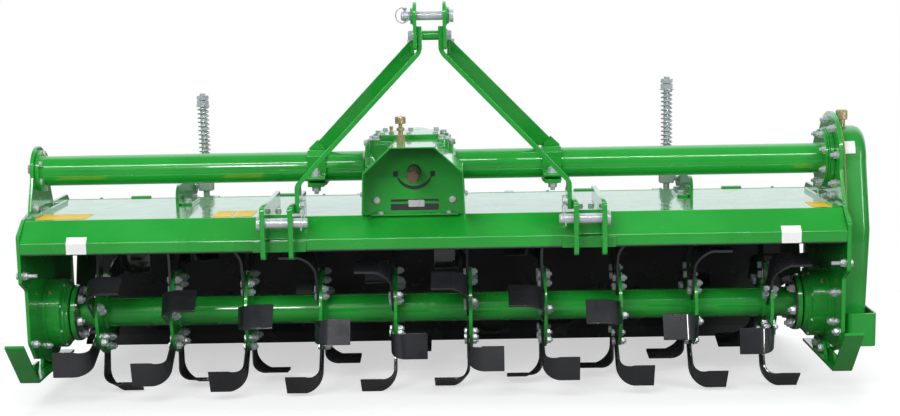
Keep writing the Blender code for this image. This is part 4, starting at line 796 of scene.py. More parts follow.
@dataclass
class GearCase:
    """The side drive's case: flange, gasket, bulged cover, bosses, bolts, cap and guard."""

    inner: float = span("gear_case")[0]
    outer: float = span("gear_case")[1]
    top: Point = TUBE
    top_radius: float = 0.098
    toe_radius: float = 0.152
    waist: Triple = (-0.180, 0.128, 0.500)
    flange: float = 0.012

    def outline(self, inset: float) -> list[Point]:
        """The case's outline drawn in by INSET."""
        front, rear, up = self.waist
        return [*arc(self.top, self.top_radius - inset, 180.0, 0.0, 40), (rear - inset, up),
                *arc(ROTOR, self.toe_radius - inset, 0.0, -180.0, 48), (front + inset, up)]

    def build(self) -> None:
        """Builds the case's pieces."""
        case, seam, bolts = Stock("gear_case_cover"), Stock("gear_case_gasket"), Stock("gear_case_bolts")
        case.slab(YZ, self.outline(0.0), self.inner, self.inner + self.flange, edge=0.0015)
        case.slab(YZ, self.outline(0.0022), self.inner + self.flange, self.outer, edge=0.026, foot=0.0006)
        seam.slab(YZ, self.outline(-0.0014), self.inner + self.flange - 0.001,
                  self.inner + self.flange + 0.0032, edge=0.0009)
        # A round boss at each end of the cover
        for centre, radius in ((self.top, 0.050), (ROTOR, 0.075)):
            boss = moved([(0.0, 0.003), (0.80, 0.003), (1.0, -0.002), (0.0, -0.002)], (0.0, radius))
            case.turned(YZ, (self.outer, *centre), boss, ease=0.001)
        # Nuts of the case's own bolts inside the plate
        for spot in circle(self.top, 0.114, 8, 35.0):
            bolts.nut((self.inner - 0.0123, *spot), (-1, 0, 0), M12, tail=0.7)
        case.done("frame", CAST, "gear_case")
        seam.done("frame", GASKET)
        bolts.done("frame", ZINC)
        self.cap()
        self.guard()

    def cap(self) -> None:
        """The filler cap on its neck, knurled."""
        stock = Stock("gear_case_cap")
        low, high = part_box("filler_cap")
        radius = (high.x - low.x) / 2
        centre = ((low.x + high.x) / 2, self.top[0], low.z)
        tall = high.z - low.z
        stock.turned(XY, centre, oblong(0.0, radius * 0.62, -0.004, tall * 0.36), ease=0.001)
        knob = moved([(0.0, 0.34), (1.0, 0.34), (1.0, 0.92), (0.86, 1.0), (0.0, 1.0)], (0.0, radius),
                     (0.0, tall))
        stock.turned(XY, centre, knob, segments=96, ease=0.0012,
                     radius_at=lambda turn: 1.0 - 0.03 * (math.sin(24 * turn) > 0))
        stock.done("frame", BRASS, "filler_cap")

    def guard(self) -> None:
        """The bent plate that shields the case's lower corner, with its bolts."""
        stock, bolts = Stock("gear_case_shield"), Stock("gear_case_shield_bolts")
        low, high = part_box("gear_case_guard")
        front, rear = low.y - AXIS_Y, high.y - AXIS_Y
        path = [(self.outer + 0.0004, rear), (high.x, rear), (high.x, front), (low.x, front),
                (low.x, front + 0.030)]
        stock.slab(XY, sheet_outline(path, -0.006, 0.010), low.z, high.z, edge=0.001)
        for up in (low.z + 0.030, high.z - 0.030):
            bolts.bolt((self.outer + 0.013, rear, up), REARWARD, M10)
        stock.done("frame", GREEN, "gear_case_guard")
        bolts.done("frame", ZINC)


@dataclass
class TorqueTube:
    """The round cross tube in two lengths, with flanges and bolts."""

    centre: Point = TUBE
    radius: float = 0.0445
    lengths: tuple[Point, Point] = (span("torque_tube_left"), span("torque_tube_right"))
    flanges: tuple[Point, Point] = ((0.062, 0.078), (0.078, 0.092))

    def build(self) -> None:
        """Builds both lengths with welded collars, and the bolts of their flanges."""
        bolts = Stock("torque_tube_bolts")
        for side, (low, high), (first, last) in zip(Side, self.lengths, self.flanges):
            tube = Stock("cross_tube_" + side.word)
            thick, weld = 0.012, 0.007
            profile = []
            for reach, end in ((first, (low, 1)), (last, (high, -1))):
                half = [(reach, 0.0), (reach, thick), (self.radius + weld, thick),
                        (self.radius, thick + weld)]
                profile += moved(half if end[1] > 0 else half[::-1], up=end)
            profile += [(0.030, high), (0.030, low)]
            tube.turned(YZ, (0.0, *self.centre), profile, segments=96, ease=0.0012)
            if side is Side.RIGHT:
                # A second, smaller disc and its seam stand before the large flange
                for radius, first_x, last_x in ((0.0865, 0.026, 0.018), (0.089, 0.0175, 0.0125)):
                    ring = oblong(self.radius - 0.001, radius, high - first_x, high - last_x)
                    tube.turned(YZ, (0.0, *self.centre), ring, segments=96, ease=0.0012)
                for spot in circle(self.centre, 0.076, 8, 20.0):
                    bolts.nut((high - 0.026, *spot), (-1, 0, 0), M10, tail=0.6)
            tube.done("frame", GREEN, "torque_tube_" + side.word)
            ends = ((low, 1, first), (high, -1, last))
            for end, out, reach in ends if side is Side.LEFT else ends[:1]:
                for spot in circle(self.centre, reach - 0.010, 6, 30.0):
                    bolts.bolt((end + out * thick, *spot), (out, 0, 0), M10, washer=False)
        bolts.done("frame", ZINC)


@dataclass
class GearBox:
    """The cast gearbox with its nose, rear cover, top cover, lugs, bolts, breather and dipstick."""

    left: float = span("gearbox")[0]
    right: float = span("gearbox")[1]
    front: float = -0.110
    rear: float = 0.110
    low: float = DECK
    top: float = 0.776
    shaft: Point = (INPUT_X, 0.700)
    nose_end: float = -0.210

    def build(self) -> None:
        """Builds the gearbox's pieces."""
        x, z = self.shaft
        box, bolts = Stock("gearbox_casting"), Stock("gearbox_bolts")
        outline = oblong(self.left, self.right, self.front, self.rear)
        box.slab(XY, rounded(outline, 0.022), self.low, self.top, edge=0.012)
        box.block((self.left - 0.001, self.front + 0.004, self.low),
                  (self.right + 0.001, self.rear - 0.004, self.low + 0.016), corner=0.012)
        nose, root = self.nose_end + SEAT, self.front + 0.02
        profile = [(0.026, nose), (0.062, nose), (0.062, self.nose_end + 0.020),
                   (0.055, self.nose_end + 0.026), (0.058, root), (0.026, root)]
        box.turned(XZ, (x, 0.0, z), profile, ease=0.002)
        cover, root = self.rear + 0.085, self.rear - 0.02
        profile = [(0.0, cover), (0.060, cover), (0.066, cover - 0.012), (0.084, cover - 0.020),
                   (0.092, cover - 0.034), (0.092, root), (0.0, root)]
        box.turned(XZ, (x, 0.0, z), profile, ease=0.003)
        for across, up in circle((x, z), 0.075, 8, 22.5):
            bolts.bolt((across, cover - 0.0165, up), REARWARD, M10)
        # Round lugs at the top corners, with a bolt in each, and flanges to the tubes
        for across in (self.left + 0.020, self.right - 0.020):
            for along in (self.front + 0.022, self.rear - 0.022):
                lug = moved([(0.0, 0.004), (0.019, 0.004), (0.022, -0.030), (0.0, -0.030)],
                            up=(self.top, 1.0))
                box.turned(XY, (across, along, 0.0), lug, ease=0.002, segments=36)
                bolts.bolt((across, along, self.top + 0.004), UP, M12)
        for end, out in ((self.left, -1), (self.right, 1)):
            box.turned(YZ, (end, *TUBE), oblong(0.0, 0.084, out * 0.0001, -out * 0.016), ease=0.001)
            for along, up in circle((0.0, 0.0), 1.0, 6):
                bolts.bolt((end - out * 0.003, TUBE[0] + 0.096 * along, TUBE[1] + 0.088 * up),
                           (out, 0, 0), M10)
            first, last = sorted((end + out * 0.002, end - out * 0.010))
            for rib in (-0.075, 0.035):
                box.block((first, rib - 0.005, self.low + 0.014), (last, rib + 0.005, self.top - 0.030),
                          corner=0.002)
        for across in (self.left + 0.018, x, self.right - 0.018):
            bolts.bolt((across, self.rear - 0.014, self.low + 0.016), UP, M12)
        box.done("frame", CAST, "gearbox")
        self.lid(bolts)
        bolts.done("frame", ZINC)
        self.fittings()

    def lid(self, bolts: Stock) -> None:
        """The top cover and its bolts.

        Args:
            bolts: the fasteners being gathered.
        """
        lid = Stock("gearbox_lid")
        low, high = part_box("gearbox_top_cover")
        front, rear, inset = low.y - AXIS_Y, high.y - AXIS_Y, 0.014
        lid.block((low.x, front, low.z - 0.0004), (high.x, rear, high.z), corner=0.016, edge=0.003)
        for across in (low.x + inset, (low.x + high.x) / 2, high.x - inset):
            for along in (front + inset, rear - inset):
                bolts.bolt((across, along, high.z), UP, M8)
        lid.done("frame", CAST, "gearbox_top_cover")

    def fittings(self) -> None:
        """The breather cap on its stem, and the dipstick beside it."""
        low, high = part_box("breather")
        centre = ((low.x + high.x) / 2, (low.y + high.y) / 2 - AXIS_Y, low.z)
        radius, tall = (high.x - low.x) / 2, high.z - low.z
        cap = Stock("gearbox_breather")
        cap.hexagon(facing(centre, UP), radius * 1.36, -0.0006, tall * 0.30)
        stem = [(0.0, 0.28), (0.44, 0.28), (0.44, 0.44), (0.74, 0.46), (0.74, 0.56), (0.36, 0.60),
                (0.36, 0.76), (0.0, 0.76)]
        cap.turned(XY, centre, moved(stem, (0.0, radius), (0.0, tall)), segments=48)
        dome = [(0.0, 0.73), (0.94, 0.73), (1.0, 0.75), (1.0, 0.95), (0.9, 1.0), (0.0, 1.0)]
        cap.turned(XY, centre, moved(dome, (0.0, radius), (0.0, tall)), segments=96, ease=0.0010,
                   radius_at=lambda turn: 1.0 - 0.025 * (math.sin(20 * turn) > 0))
        cap.done("frame", BRASS, "breather")
        stick = Stock("gearbox_dipstick")
        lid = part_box("gearbox_top_cover")
        spot = (centre[0] - 0.034, lid[0].y - AXIS_Y + 0.030, lid[1].z)
        stick.hexagon(facing(spot, UP), 0.014, -0.0006, 0.007)
        knob = [(0.0, 0.005), (0.004, 0.005), (0.004, 0.013), (0.0055, 0.015), (0.0055, 0.023),
                (0.0, 0.024)]
        stick.turned(XY, spot, knob, segments=28, ease=0.0006)
        stick.done("frame", BRASS)


@dataclass
class PowerInput:
    """The splined input shaft and the sheet guard round it."""

    x: float = INPUT_X
    z: float = 0.700
    front: float = -0.330
    back: float = -0.210
    rear: float = -0.1103
    foot: float = DECK
    halves: Triple = (0.146, 0.141, 0.062)
    shoulder: float = 0.708
    roof: float = 0.781
    sheet: float = 0.004

    def build(self) -> None:
        """Builds the guard, its bolts and label, and the shaft."""
        self.guard()
        self.shaft()

    def guard(self) -> None:
        """The folded sheet and its back plate with the openings."""
        stock, bolts, label = Stock("input_guard"), Stock("input_guard_bolts"), Stock("input_guard_plate")
        foot, shoulder, roof = self.halves
        half = [(foot, self.foot), (shoulder, self.shoulder), (roof, self.roof)]
        outer = rounded([*moved(half, (self.x, 1)), *moved(half[::-1], (self.x, -1))], 0.006, closed=False)
        stock.slab(XZ, outer + drawn_in(outer, self.sheet, closed=False)[::-1], self.front,
                   self.rear, edge=0.0009)
        inside = drawn_in(outer, self.sheet * 0.5, closed=False)
        moon = [*arc((self.x, self.z), 0.053, 200.0, 340.0, 32),
                *arc((self.x, self.z + 0.010), 0.053, 332.0, 208.0, 32)]
        mouth = circle((self.x, self.z), 0.0195)
        holes = [mouth, moon, rounded(oblong(self.x - 0.069, self.x + 0.069, 0.587, 0.619), 0.002)]
        for sign in (-1, 1):
            notch = oblong(self.x + sign * 0.046, self.x + sign * 0.060, 0.684, 0.700)
            holes.append(rounded(notch, 0.0015))
        stock.slab(XZ, inside, self.back - 0.005, self.back, holes=holes, edge=0.0006)
        # A black sheet of painted shade that lies within the plate, so that only the openings show it dark
        shade_backing = Stock("input_guard_painted_shade")
        outline = rounded(oblong(self.x - 0.075, self.x + 0.075, 0.580, 0.720), 0.004)
        shade_backing.slab(XZ, outline, self.back - 0.0014, self.back - 0.0004, holes=[mouth], edge=0.0003)
        shade_backing.done("frame", BLACK)
        # The foot that is turned forwards onto the deck, and its two bolts
        stock.block((self.x - 0.126, self.back - 0.022, self.foot - 0.0002),
                    (self.x + 0.126, self.back - 0.001, self.foot + 0.005), corner=0.002)
        for sign in (-1, 1):
            bolts.bolt((self.x + sign * 0.109, self.back - 0.005, 0.617), (0, -1, 0), M9)
            bolts.bolt((self.x + sign * 0.098, self.back - 0.013, self.foot + 0.005), UP, M8)
            bolts.bolt((self.x + sign * (foot - 0.0005), self.front + 0.075, 0.640), (sign, 0, 0), M8)
        # Blank plate on a bar across the slot
        stock.block((self.x - 0.070, self.back - 0.004, 0.605),
                    (self.x + 0.070, self.back - 0.001, 0.612), corner=0.001)
        label.block((self.x - 0.018, self.back - 0.0066, 0.597),
                    (self.x + 0.028, self.back - 0.0052, 0.617), corner=0.002, plane=XZ, edge=0.0003)
        stock.done("frame", GREEN, "pto_guard")
        bolts.done("frame", ZINC)
        label.done("frame", SILVER)

    def shaft(self) -> None:
        """The six-splined shaft with its locking groove."""
        stock = Stock("input_shaft")
        low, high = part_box("pto_shaft")
        tip, end = low.y - AXIS_Y, high.y - AXIS_Y
        radius, centre = (high.x - low.x) / 2, (self.x, 0.0, self.z)

        def splined(turn: float) -> float:
            """The share of the full radius at an angle: six teeth and six valleys."""
            share = (turn * 6 / (2 * math.pi)) % 1.0
            return 1.0 if share < 0.48 else 0.86

        def section(first: float, last: float, shape: Callable[[float], float], share: float = 1.0) -> None:
            """A length of the shaft with chamfered ends."""
            half = moved([(0.0, 0.0), (0.92, 0.0), (1.0, 0.0015)], (0.0, radius * share))
            profile = [*moved(half, up=(first, 1)), *moved(half[::-1], up=(last, -1))]
            stock.turned(XZ, centre, profile, segments=144, radius_at=shape)

        section(tip, tip + 0.024, splined)
        section(tip + 0.022, tip + 0.034, lambda turn: 1.0, 0.84)
        section(tip + 0.032, end - 0.040, splined)
        section(end - 0.042, end, lambda turn: 1.0)
        dimple = [(0.0, -0.0002), (0.004, -0.0002), (0.0045, 0.001), (0.0, 0.001)]
        stock.turned(XZ, centre, moved(dimple, up=(tip, 1)), segments=32)
        stock.done("pto", STEEL, "pto_shaft")
        seal = Stock("input_seal")
        ring = oblong(0.0187, 0.0228, self.back - 0.0045, self.back + 0.004)
        seal.turned(XZ, centre, ring, ease=0.0006)
        seal.done("frame", BLACK)


@dataclass
class LowerHitch:
    """The two clevises: four plates, base plates, ribs, pins and their clips."""

    middle: float = HITCH_X
    spread: float = 0.880
    gap: float = 0.065
    thick: float = 0.014
    pin: Point = (-0.310, 0.570)
    pin_radius: float = 0.0143
    front: float = -0.335
    bottom: float = 0.468
    top: float = 0.618
    rear: float = 0.030

    def faces(self, side: Side) -> tuple[float, ...]:
        """The X of the inner plate's two faces and the outer plate's two, outwards."""
        centre = self.middle + side.value * self.spread / 2
        reach = (-self.gap / 2 - self.thick, -self.gap / 2, self.gap / 2, self.gap / 2 + self.thick)
        return tuple(centre + side.value * step for step in reach)

    def build(self) -> None:
        """Builds both clevises."""
        outline = [(self.front, self.bottom), (self.front, self.top), (self.rear, self.top),
                   (self.rear, DECK), (-0.2131, DECK), (-0.2753, 0.5161), (-0.2753, 0.5143),
                   (-0.2836, 0.5143), (-0.2836, self.bottom)]
        corners = rounded(outline[:4], 0.012, closed=False, steps=8)
        toe = rounded([outline[-1], *outline[:2]], 0.010, closed=False, steps=6)[1:-1]
        outline = toe + corners[1:] + outline[4:]
        bore = self.pin_radius + 0.0006
        for side in Side:
            inner_far, inner_gap, outer_gap, outer_far = self.faces(side)
            for place, low, high in (("inner", inner_far, inner_gap), ("outer", outer_gap, outer_far)):
                plate = Stock("clevis_plate_%s_%s" % (side.word, place))
                hole = circle(self.pin, self.pin_radius + SEAT)
                plate.slab(YZ, outline, low, high, holes=[hole], edge=0.0018)
                first, last = (-0.0005, side.value * 0.0012) if place == "inner" else (-0.0002, 0.0002)
                collar = [(bore, first), (0.0205, first), (0.0195, last), (bore, last)]
                plate.turned(YZ, (high if place == "outer" else low, *self.pin), collar, segments=48)
                plate.done("frame", GREEN, "hitch_plate_%s_%s" % (side.word, place))
            self.base(side)
            self.pin_set(side)

    def base(self, side: Side) -> None:
        """A base plate on the nose with its small bolts, and the rib and web between the plates."""
        base, bolts = Stock("clevis_base_" + side.word), Stock("clevis_bolts_" + side.word)
        low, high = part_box("hitch_base_" + side.word)
        base.block((low.x, low.y - AXIS_Y, low.z), (high.x, high.y - AXIS_Y, high.z), corner=0.004,
                   plane=XZ, edge=0.0012)
        first, last = sorted(self.faces(side)[1:3])
        # A folded web behind the ball end, on the slope of the nose
        web = [(-0.2757, 0.5165), (-0.2131, DECK + SEAT), (-0.1200, DECK + SEAT),
               (-0.1200, DECK + 0.0063), (-0.2190, DECK + 0.0063), (-0.2836, 0.5205)]
        base.slab(YZ, rounded(web, 0.002, steps=2), first, last, edge=0.0008)
        for share in (0.25, 0.75):
            bolts.bolt((first + (last - first) * share, -0.150, DECK + 0.0063), UP, M9)
        base.done("frame", GREEN, "hitch_base_" + side.word)
        bolts.done("frame", ZINC)

    def pin_set(self, side: Side) -> None:
        """The stepped pin with its collar and groove, and the spring clip through its end."""
        low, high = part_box("hitch_pin_" + side.word)
        sign = side.value
        head, tail = (high.x, low.x) if side is Side.RIGHT else (low.x, high.x)
        pin = Stock("clevis_pin_" + side.word)
        r = self.pin_radius
        collar = [(0.0, 0.0), (0.0215, 0.0), (0.022, 0.002), (0.022, 0.0098), (r, 0.0100)]
        tip = [(r, 0.014), (r - 0.0012, 0.013), (r - 0.0012, 0.010), (r, 0.009), (r, 0.005),
               (r - 0.003, 0.0), (0.0, 0.0)]
        profile = [*moved(collar, up=(head, -sign)), *moved(tip, up=(tail, sign))]
        pin.turned(YZ, (0.0, *self.pin), profile, segments=64)
        pin.done("frame", ZINC, "hitch_pin_" + side.word)
        clip = Stock("clevis_clip_" + side.word)
        x, y, z = tail + sign * 0.018, self.pin[0], self.pin[1]
        lean = math.radians(35)
        # A straight leg and a wavy one
        path = [(0.0, -0.024), (0.0, 0.030), (0.004, 0.040), (0.012, 0.043), (0.018, 0.038), (0.018, 0.028),
                (0.0155, 0.016), (0.0165, 0.004), (0.0175, -0.006), (0.0235, -0.018)]
        path = rounded(path, 0.004, closed=False, steps=3)
        clip.wire([(x - sign * aside * 0.35, y + aside * 0.90 + along * math.sin(lean),
                    z + along * math.cos(lean)) for aside, along in path], 0.0018)
        clip.done("frame", ZINC)


@dataclass
class Mast:
    """The mast: straps, ears, braces, clamps, spacer, bolts and the top link pin."""

    middle: float = HITCH_X
    strap_y: float = -0.235
    strap_half: float = 0.030
    strap_thick: float = 0.013
    strap_foot: Point = (0.39320, 0.590)
    strap_low_bend: float = 0.671
    strap_head: Point = (0.03585, 1.112)
    strap_top_bend: float = 1.044
    ear_gap: float = 0.0723
    ear_thick: float = 0.010
    ear_low: float = 1.047
    ear_span: tuple[float, float] = (-0.285, -0.190)
    ear_radius: float = 0.039
    pin: Point = (-0.250, 1.141)
    pin_radius: float = 0.0127
    spacer: float = 1.086
    tube: Point = TUBE
    clamp_x: float = 0.3477
    clamp_half: float = 0.0515
    clamp_wide: float = 0.056
    ledge_up: float = 0.0185

    def build(self) -> None:
        """Builds the mast's pieces."""
        bolts = Stock("mast_bolts")
        for side in Side:
            self.strap(side, bolts)
            self.ear(side)
            self.brace(side, bolts)
            self.clamp(side, bolts)
        self.top_pin()
        half = self.ear_gap / 2 - SEAT - self.strap_thick - SEAT
        tube = Stock("mast_spacer_tube")
        tube.turned(YZ, (self.middle, self.strap_y, self.spacer), oblong(0.0, 0.0135, half, -half),
                    ease=0.001)
        tube.done("frame", GREEN, "mast_spacer")
        out = self.ear_gap / 2 + self.ear_thick
        bolts.bolt((self.middle + out, self.strap_y, self.spacer), (1, 0, 0), M16)
        bolts.nut((self.middle - out, self.strap_y, self.spacer), (-1, 0, 0), M16, tail=0.0)
        bolts.done("frame", ZINC)

    def strap(self, side: Side, bolts: Stock) -> None:
        """A front strap with pressed bends.

        Args:
            side: its side.
            bolts: the fasteners being gathered.
        """
        foot_x, foot_z = self.strap_foot
        head_x, head_z = self.strap_head
        path = [(head_x, head_z), (head_x, self.strap_top_bend), (foot_x, self.strap_low_bend),
                (foot_x, foot_z)]
        outline = sheet_outline(path, self.strap_thick, 0.030)
        strap = Stock("mast_strap_plate_" + side.word)
        strap.slab(XZ, moved(outline, (self.middle, side.value)), self.strap_y - self.strap_half,
                   self.strap_y + self.strap_half, edge=0.0022)
        strap.done("frame", GREEN, "mast_strap_" + side.word)
        near = self.middle + side.value * (foot_x - self.strap_thick)
        for along in (-0.012, 0.012):
            bolts.bolt((near, self.strap_y + along * 1.2, foot_z + 0.022), (-side.value, 0, 0), M14)

    def ear(self, side: Side) -> None:
        """A top ear with its welded boss."""
        near = self.middle + side.value * self.ear_gap / 2
        far = near + side.value * self.ear_thick
        front, rear = self.ear_span
        foot = [(rear, self.spacer), (rear, self.ear_low), (front, self.ear_low), (front, 1.10)]
        outline = [*rounded(foot, 0.010, closed=False)[1:], *arc(self.pin, self.ear_radius, 180.0, 0.0, 32),
                   (rear, self.spacer)]
        ear = Stock("mast_ear_plate_" + side.word)
        ear.slab(YZ, outline, near, far, holes=[circle(self.pin, self.pin_radius + SEAT)], edge=0.0016)
        boss = [(0.0130, 0.0), (0.0240, 0.0), (0.0225, 0.0078), (0.0130, 0.0080)]
        weld = [(0.0225, 0.0), (0.0290, -0.0003), (0.0262, 0.0018), (0.0225, 0.0040)]
        for profile, ease in ((boss, 0.0008), (weld, 0.0006)):
            ear.turned(YZ, (far, *self.pin), moved(profile, up=(0.0, side.value)), segments=64, ease=ease)
        ear.done("frame", GREEN, "mast_ear_" + side.word)

    def brace(self, side: Side, bolts: Stock) -> None:
        """A flat brace from the ear back to the clamp, with its bolts.

        Args:
            side: its side.
            bolts: the fasteners being gathered.
        """
        wide, thick, head_z, foot_z = 0.040, 0.010, 1.028, 0.7488
        head_x, foot_x = self.ear_gap / 2 + self.ear_thick + SEAT, self.clamp_x - 0.020
        slope = math.atan2(head_z - foot_z, foot_x - head_x)
        foot_half, head_high = wide / math.sin(slope) / 2, wide / math.cos(slope)
        outline = [(head_x, head_z), (head_x, head_z + head_high), (foot_x + foot_half, foot_z + 0.012),
                   (foot_x + foot_half, foot_z), (foot_x - foot_half, foot_z)]
        head_y = self.strap_y + self.strap_half + 0.0025 + thick / 2
        shear = Matrix.Identity(4)
        shear[1][2] = (head_y - self.tube[0]) / (head_z + head_high - foot_z)
        place = Matrix.Translation((0, 0, foot_z)) @ shear @ Matrix.Translation((0, 0, -foot_z))
        brace = Stock("mast_brace_plate_" + side.word)
        outline = moved(rounded(outline, 0.002, steps=2), (self.middle, side.value))
        brace.slab(XZ, outline, self.tube[0] - thick / 2, self.tube[0] + thick / 2, edge=0.0018,
                   place=place)
        # The foot's gusset on the clamp, and the tab that is bolted to the strap's head
        gusset = [(self.clamp_x - 0.026, foot_z - 0.0005), (self.clamp_x + 0.030, foot_z - 0.0005),
                  (self.clamp_x - 0.002, foot_z + 0.030)]
        gusset = moved(rounded(gusset, 0.003), (self.middle, side.value))
        brace.slab(XZ, gusset, self.tube[0] - 0.014, self.tube[0] + 0.012, edge=0.001)
        near = self.middle + side.value * (head_x - 0.0002)
        first, last = (near - 0.009, near) if side is Side.LEFT else (near, near + 0.009)
        brace.block((first, head_y - 0.020, head_z + 0.006),
                    (last, head_y + 0.045, head_z + head_high - 0.004), corner=0.004, plane=YZ)
        brace.done("frame", GREEN, "mast_brace_" + side.word)
        edge = self.middle + side.value * (head_x + 0.0088)
        bolts.bolt((edge, head_y + 0.028, head_z + 0.034), (side.value, 0, 0), M14)

    def clamp(self, side: Side, bolts: Stock) -> None:
        """A clamp round the torque tube with its ledge, bolt and nuts.

        Args:
            side: its side.
            bolts: the fasteners being gathered.
        """
        y, z = self.tube
        half, x = self.clamp_half, self.middle + side.value * self.clamp_x
        low, high = x - self.clamp_wide / 2, x + self.clamp_wide / 2
        front, rear, foot, top = y - half, y + half, z - half, z + half
        ledge, ledge_front, ledge_top = foot + self.ledge_up, front - 0.040, foot + self.ledge_up + 0.012
        outline = [(front, foot), (front, ledge), (ledge_front, ledge), (ledge_front, ledge_top),
                   (front, ledge_top), (front, z + half * 0.70), (y - half * 0.70, top),
                   (y + half * 0.55, top), (rear, z + half * 0.55), (rear, foot)]
        clamp = Stock("clamp_block_" + side.word)
        clamp.slab(YZ, rounded(outline, 0.006), low, high, edge=0.0018,
                   holes=[circle(self.tube, 0.0447, 64)])
        # The saddle's lower jaw under the ledge, with a gap at the joint
        clamp.block((low + 0.004, front - 0.038, ledge - 0.018),
                    (high - 0.004, front + 0.004, ledge - 0.006), corner=0.004)
        for first, last in ((low - 0.003, low), (high, high + 0.003)):
            clamp.block((first, front - 0.002, z - 0.004), (last, rear + 0.002, z + 0.004), corner=0.001)
        clamp.done("frame", GREEN, "tube_clamp_" + side.word)
        bolts.nut((x, front - 0.020, ledge_top), UP, M14, tail=0.7)
        bolts.nut((x, front - 0.020, ledge - 0.018), (0, 0, -1), M14, tail=0.6)
        for shift in (0.014, -0.022):
            bolts.bolt((x, rear, z + shift), REARWARD, M12)

    def top_pin(self) -> None:
        """The top link pin with its head, and the lynch pin through its end with its ring."""
        low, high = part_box("top_link_pin")
        r = self.pin_radius
        pin = Stock("top_pin")
        profile = moved([(0.0, 0.0), (0.018, 0.0), (0.019, 0.002), (0.019, 0.0118), (r, 0.0120)],
                        up=(high.x, -1))
        profile += [(r, low.x + 0.003), (r - 0.003, low.x), (0.0, low.x)]
        pin.turned(YZ, (0.0, *self.pin), profile, segments=64)
        pin.done("frame", ZINC, "top_link_pin")
        ring = Stock("top_pin_ring")
        x, y, z = low.x + 0.011, *self.pin
        lynch = [(0.0, -0.019), (0.0035, -0.018), (0.0035, 0.017), (0.006, 0.017), (0.006, 0.023),
                 (0.0, 0.023)]
        ring.turned(XY, (x, y, z), lynch, segments=24, ease=0.0006)
        turns = [math.radians(80 + 305 * step / 40) for step in range(41)]
        loop = [(x - 0.006 + 0.019 * math.cos(turn), y - 0.015 + 0.004 * math.sin(2 * turn),
                 z + 0.002 + 0.021 * math.sin(turn)) for turn in turns]
        ring.wire(loop, 0.0016)
        ring.done("frame", ZINC)


@dataclass
class Skids:
    """The two runners with turned-up fronts, lugs and bolts."""

    level: float = 0.096
    rear: float = 0.150
    heel: float = -0.235
    front: float = -0.360
    tip: float = 0.233
    wide: float = 0.055
    thick: float = 0.008
    outer: Point = (span("skid_left")[0], span("skid_right")[1])
    lug_face: Point = (LEFT_PLATE[0] - SEAT, RIGHT_PLATE[0] - SEAT)
    lug_high: tuple[float, float] = (0.150, 0.045)

    def build(self) -> None:
        """Builds both skids and their bolts."""
        bolts = Stock("skid_bolts")
        for side, outer, face, high in zip(Side, self.outer, self.lug_face, self.lug_high):
            skid = Stock("skid_runner_" + side.word)
            path = [(self.rear, self.level), (self.heel, self.level), (self.front, self.tip)]
            skid.slab(YZ, sheet_outline(path, self.thick, 0.022), outer,
                      outer - side.value * self.wide, edge=0.0012)
            lug = [(-0.085, self.level + 0.004), (0.085, self.level + 0.004), (0.051, self.level + high),
                   (-0.051, self.level + high)]
            skid.slab(YZ, rounded(lug, 0.008), face - 0.010, face, edge=0.0014)
            # A stay from the runner's front up to the side plate's toe
            stay = [(self.heel + 0.020, self.level + 0.006), (self.heel + 0.100, self.level + 0.006),
                    (-0.115, self.level + 0.040), (-0.165, self.level + 0.040)]
            skid.slab(YZ, rounded(stay, 0.004), face - 0.008, face, edge=0.0012)
            skid.done("frame", GREEN, "skid_" + side.word)
            for across in (-0.036, 0.036):
                up = self.level + high - 0.022
                bolts.bolt((face - 0.010, across, up), (-1, 0, 0), M12)
        bolts.done("frame", ZINC)


@dataclass
class Bearings:
    """The rotor's two bearing housings with their bolt rings and grease nipples."""

    faces: Point = (INNER[0] + SEAT, INNER[1] - SEAT)
    radius: float = 0.105
    step: float = 0.094
    rim: float = 0.052
    depth: float = 0.072

    def build(self) -> None:
        """Builds both housings with their fittings."""
        bolts, nipples = Stock("bearing_bolts"), Stock("bearing_nipples")
        for side, face in zip(Side, self.faces):
            sign = side.value
            housing = Stock("bearing_housing_" + side.word)
            rim, end = face - sign * self.rim, face - sign * self.depth
            groove = [(0.0, 0.0), (0.0, 0.010), (0.0015, 0.0112), (0.0, 0.0124)]
            profile = moved(groove, (self.radius, -1), (face, -sign))
            profile += moved([(0.0, -0.003), (0.003, 0.0)], (self.radius, -1), (rim, -sign))
            profile += moved([(0.004, 0.0005), (0.0, 0.004)], (self.step, 1), (rim, -sign))
            profile += moved([(0.97, 0.009), (0.94, 0.010)], (0.0, self.step), (rim, -sign))
            profile += moved([(0.90, -0.003), (0.86, 0.0)], (0.0, self.step), (end, -sign))
            profile += [(0.0258, end), (0.0258, face)]
            housing.turned(YZ, (0.0, *ROTOR), profile, segments=120)
            housing.done("frame", CAST, "rotor_bearing_" + side.word)
            for spot in circle(ROTOR, self.radius - 0.006, 8, 22.5):
                bolts.bolt((rim, *spot), (-sign, 0, 0), M5, washer=False)
            spot = (face - sign * 0.020, -0.072, AXIS_Z + 0.0745)
            nipple = [(0.0, -0.003), (0.005, -0.003), (0.005, 0.003), (0.003, 0.005), (0.0035, 0.008),
                      (0.0025, 0.012), (0.0, 0.012)]
            nipples.turned(XY, (0, 0, 0), nipple, segments=20, place=facing(spot, (0, -0.7, 0.7)))
        bolts.done("frame", ZINC)
        nipples.done("frame", BRASS)


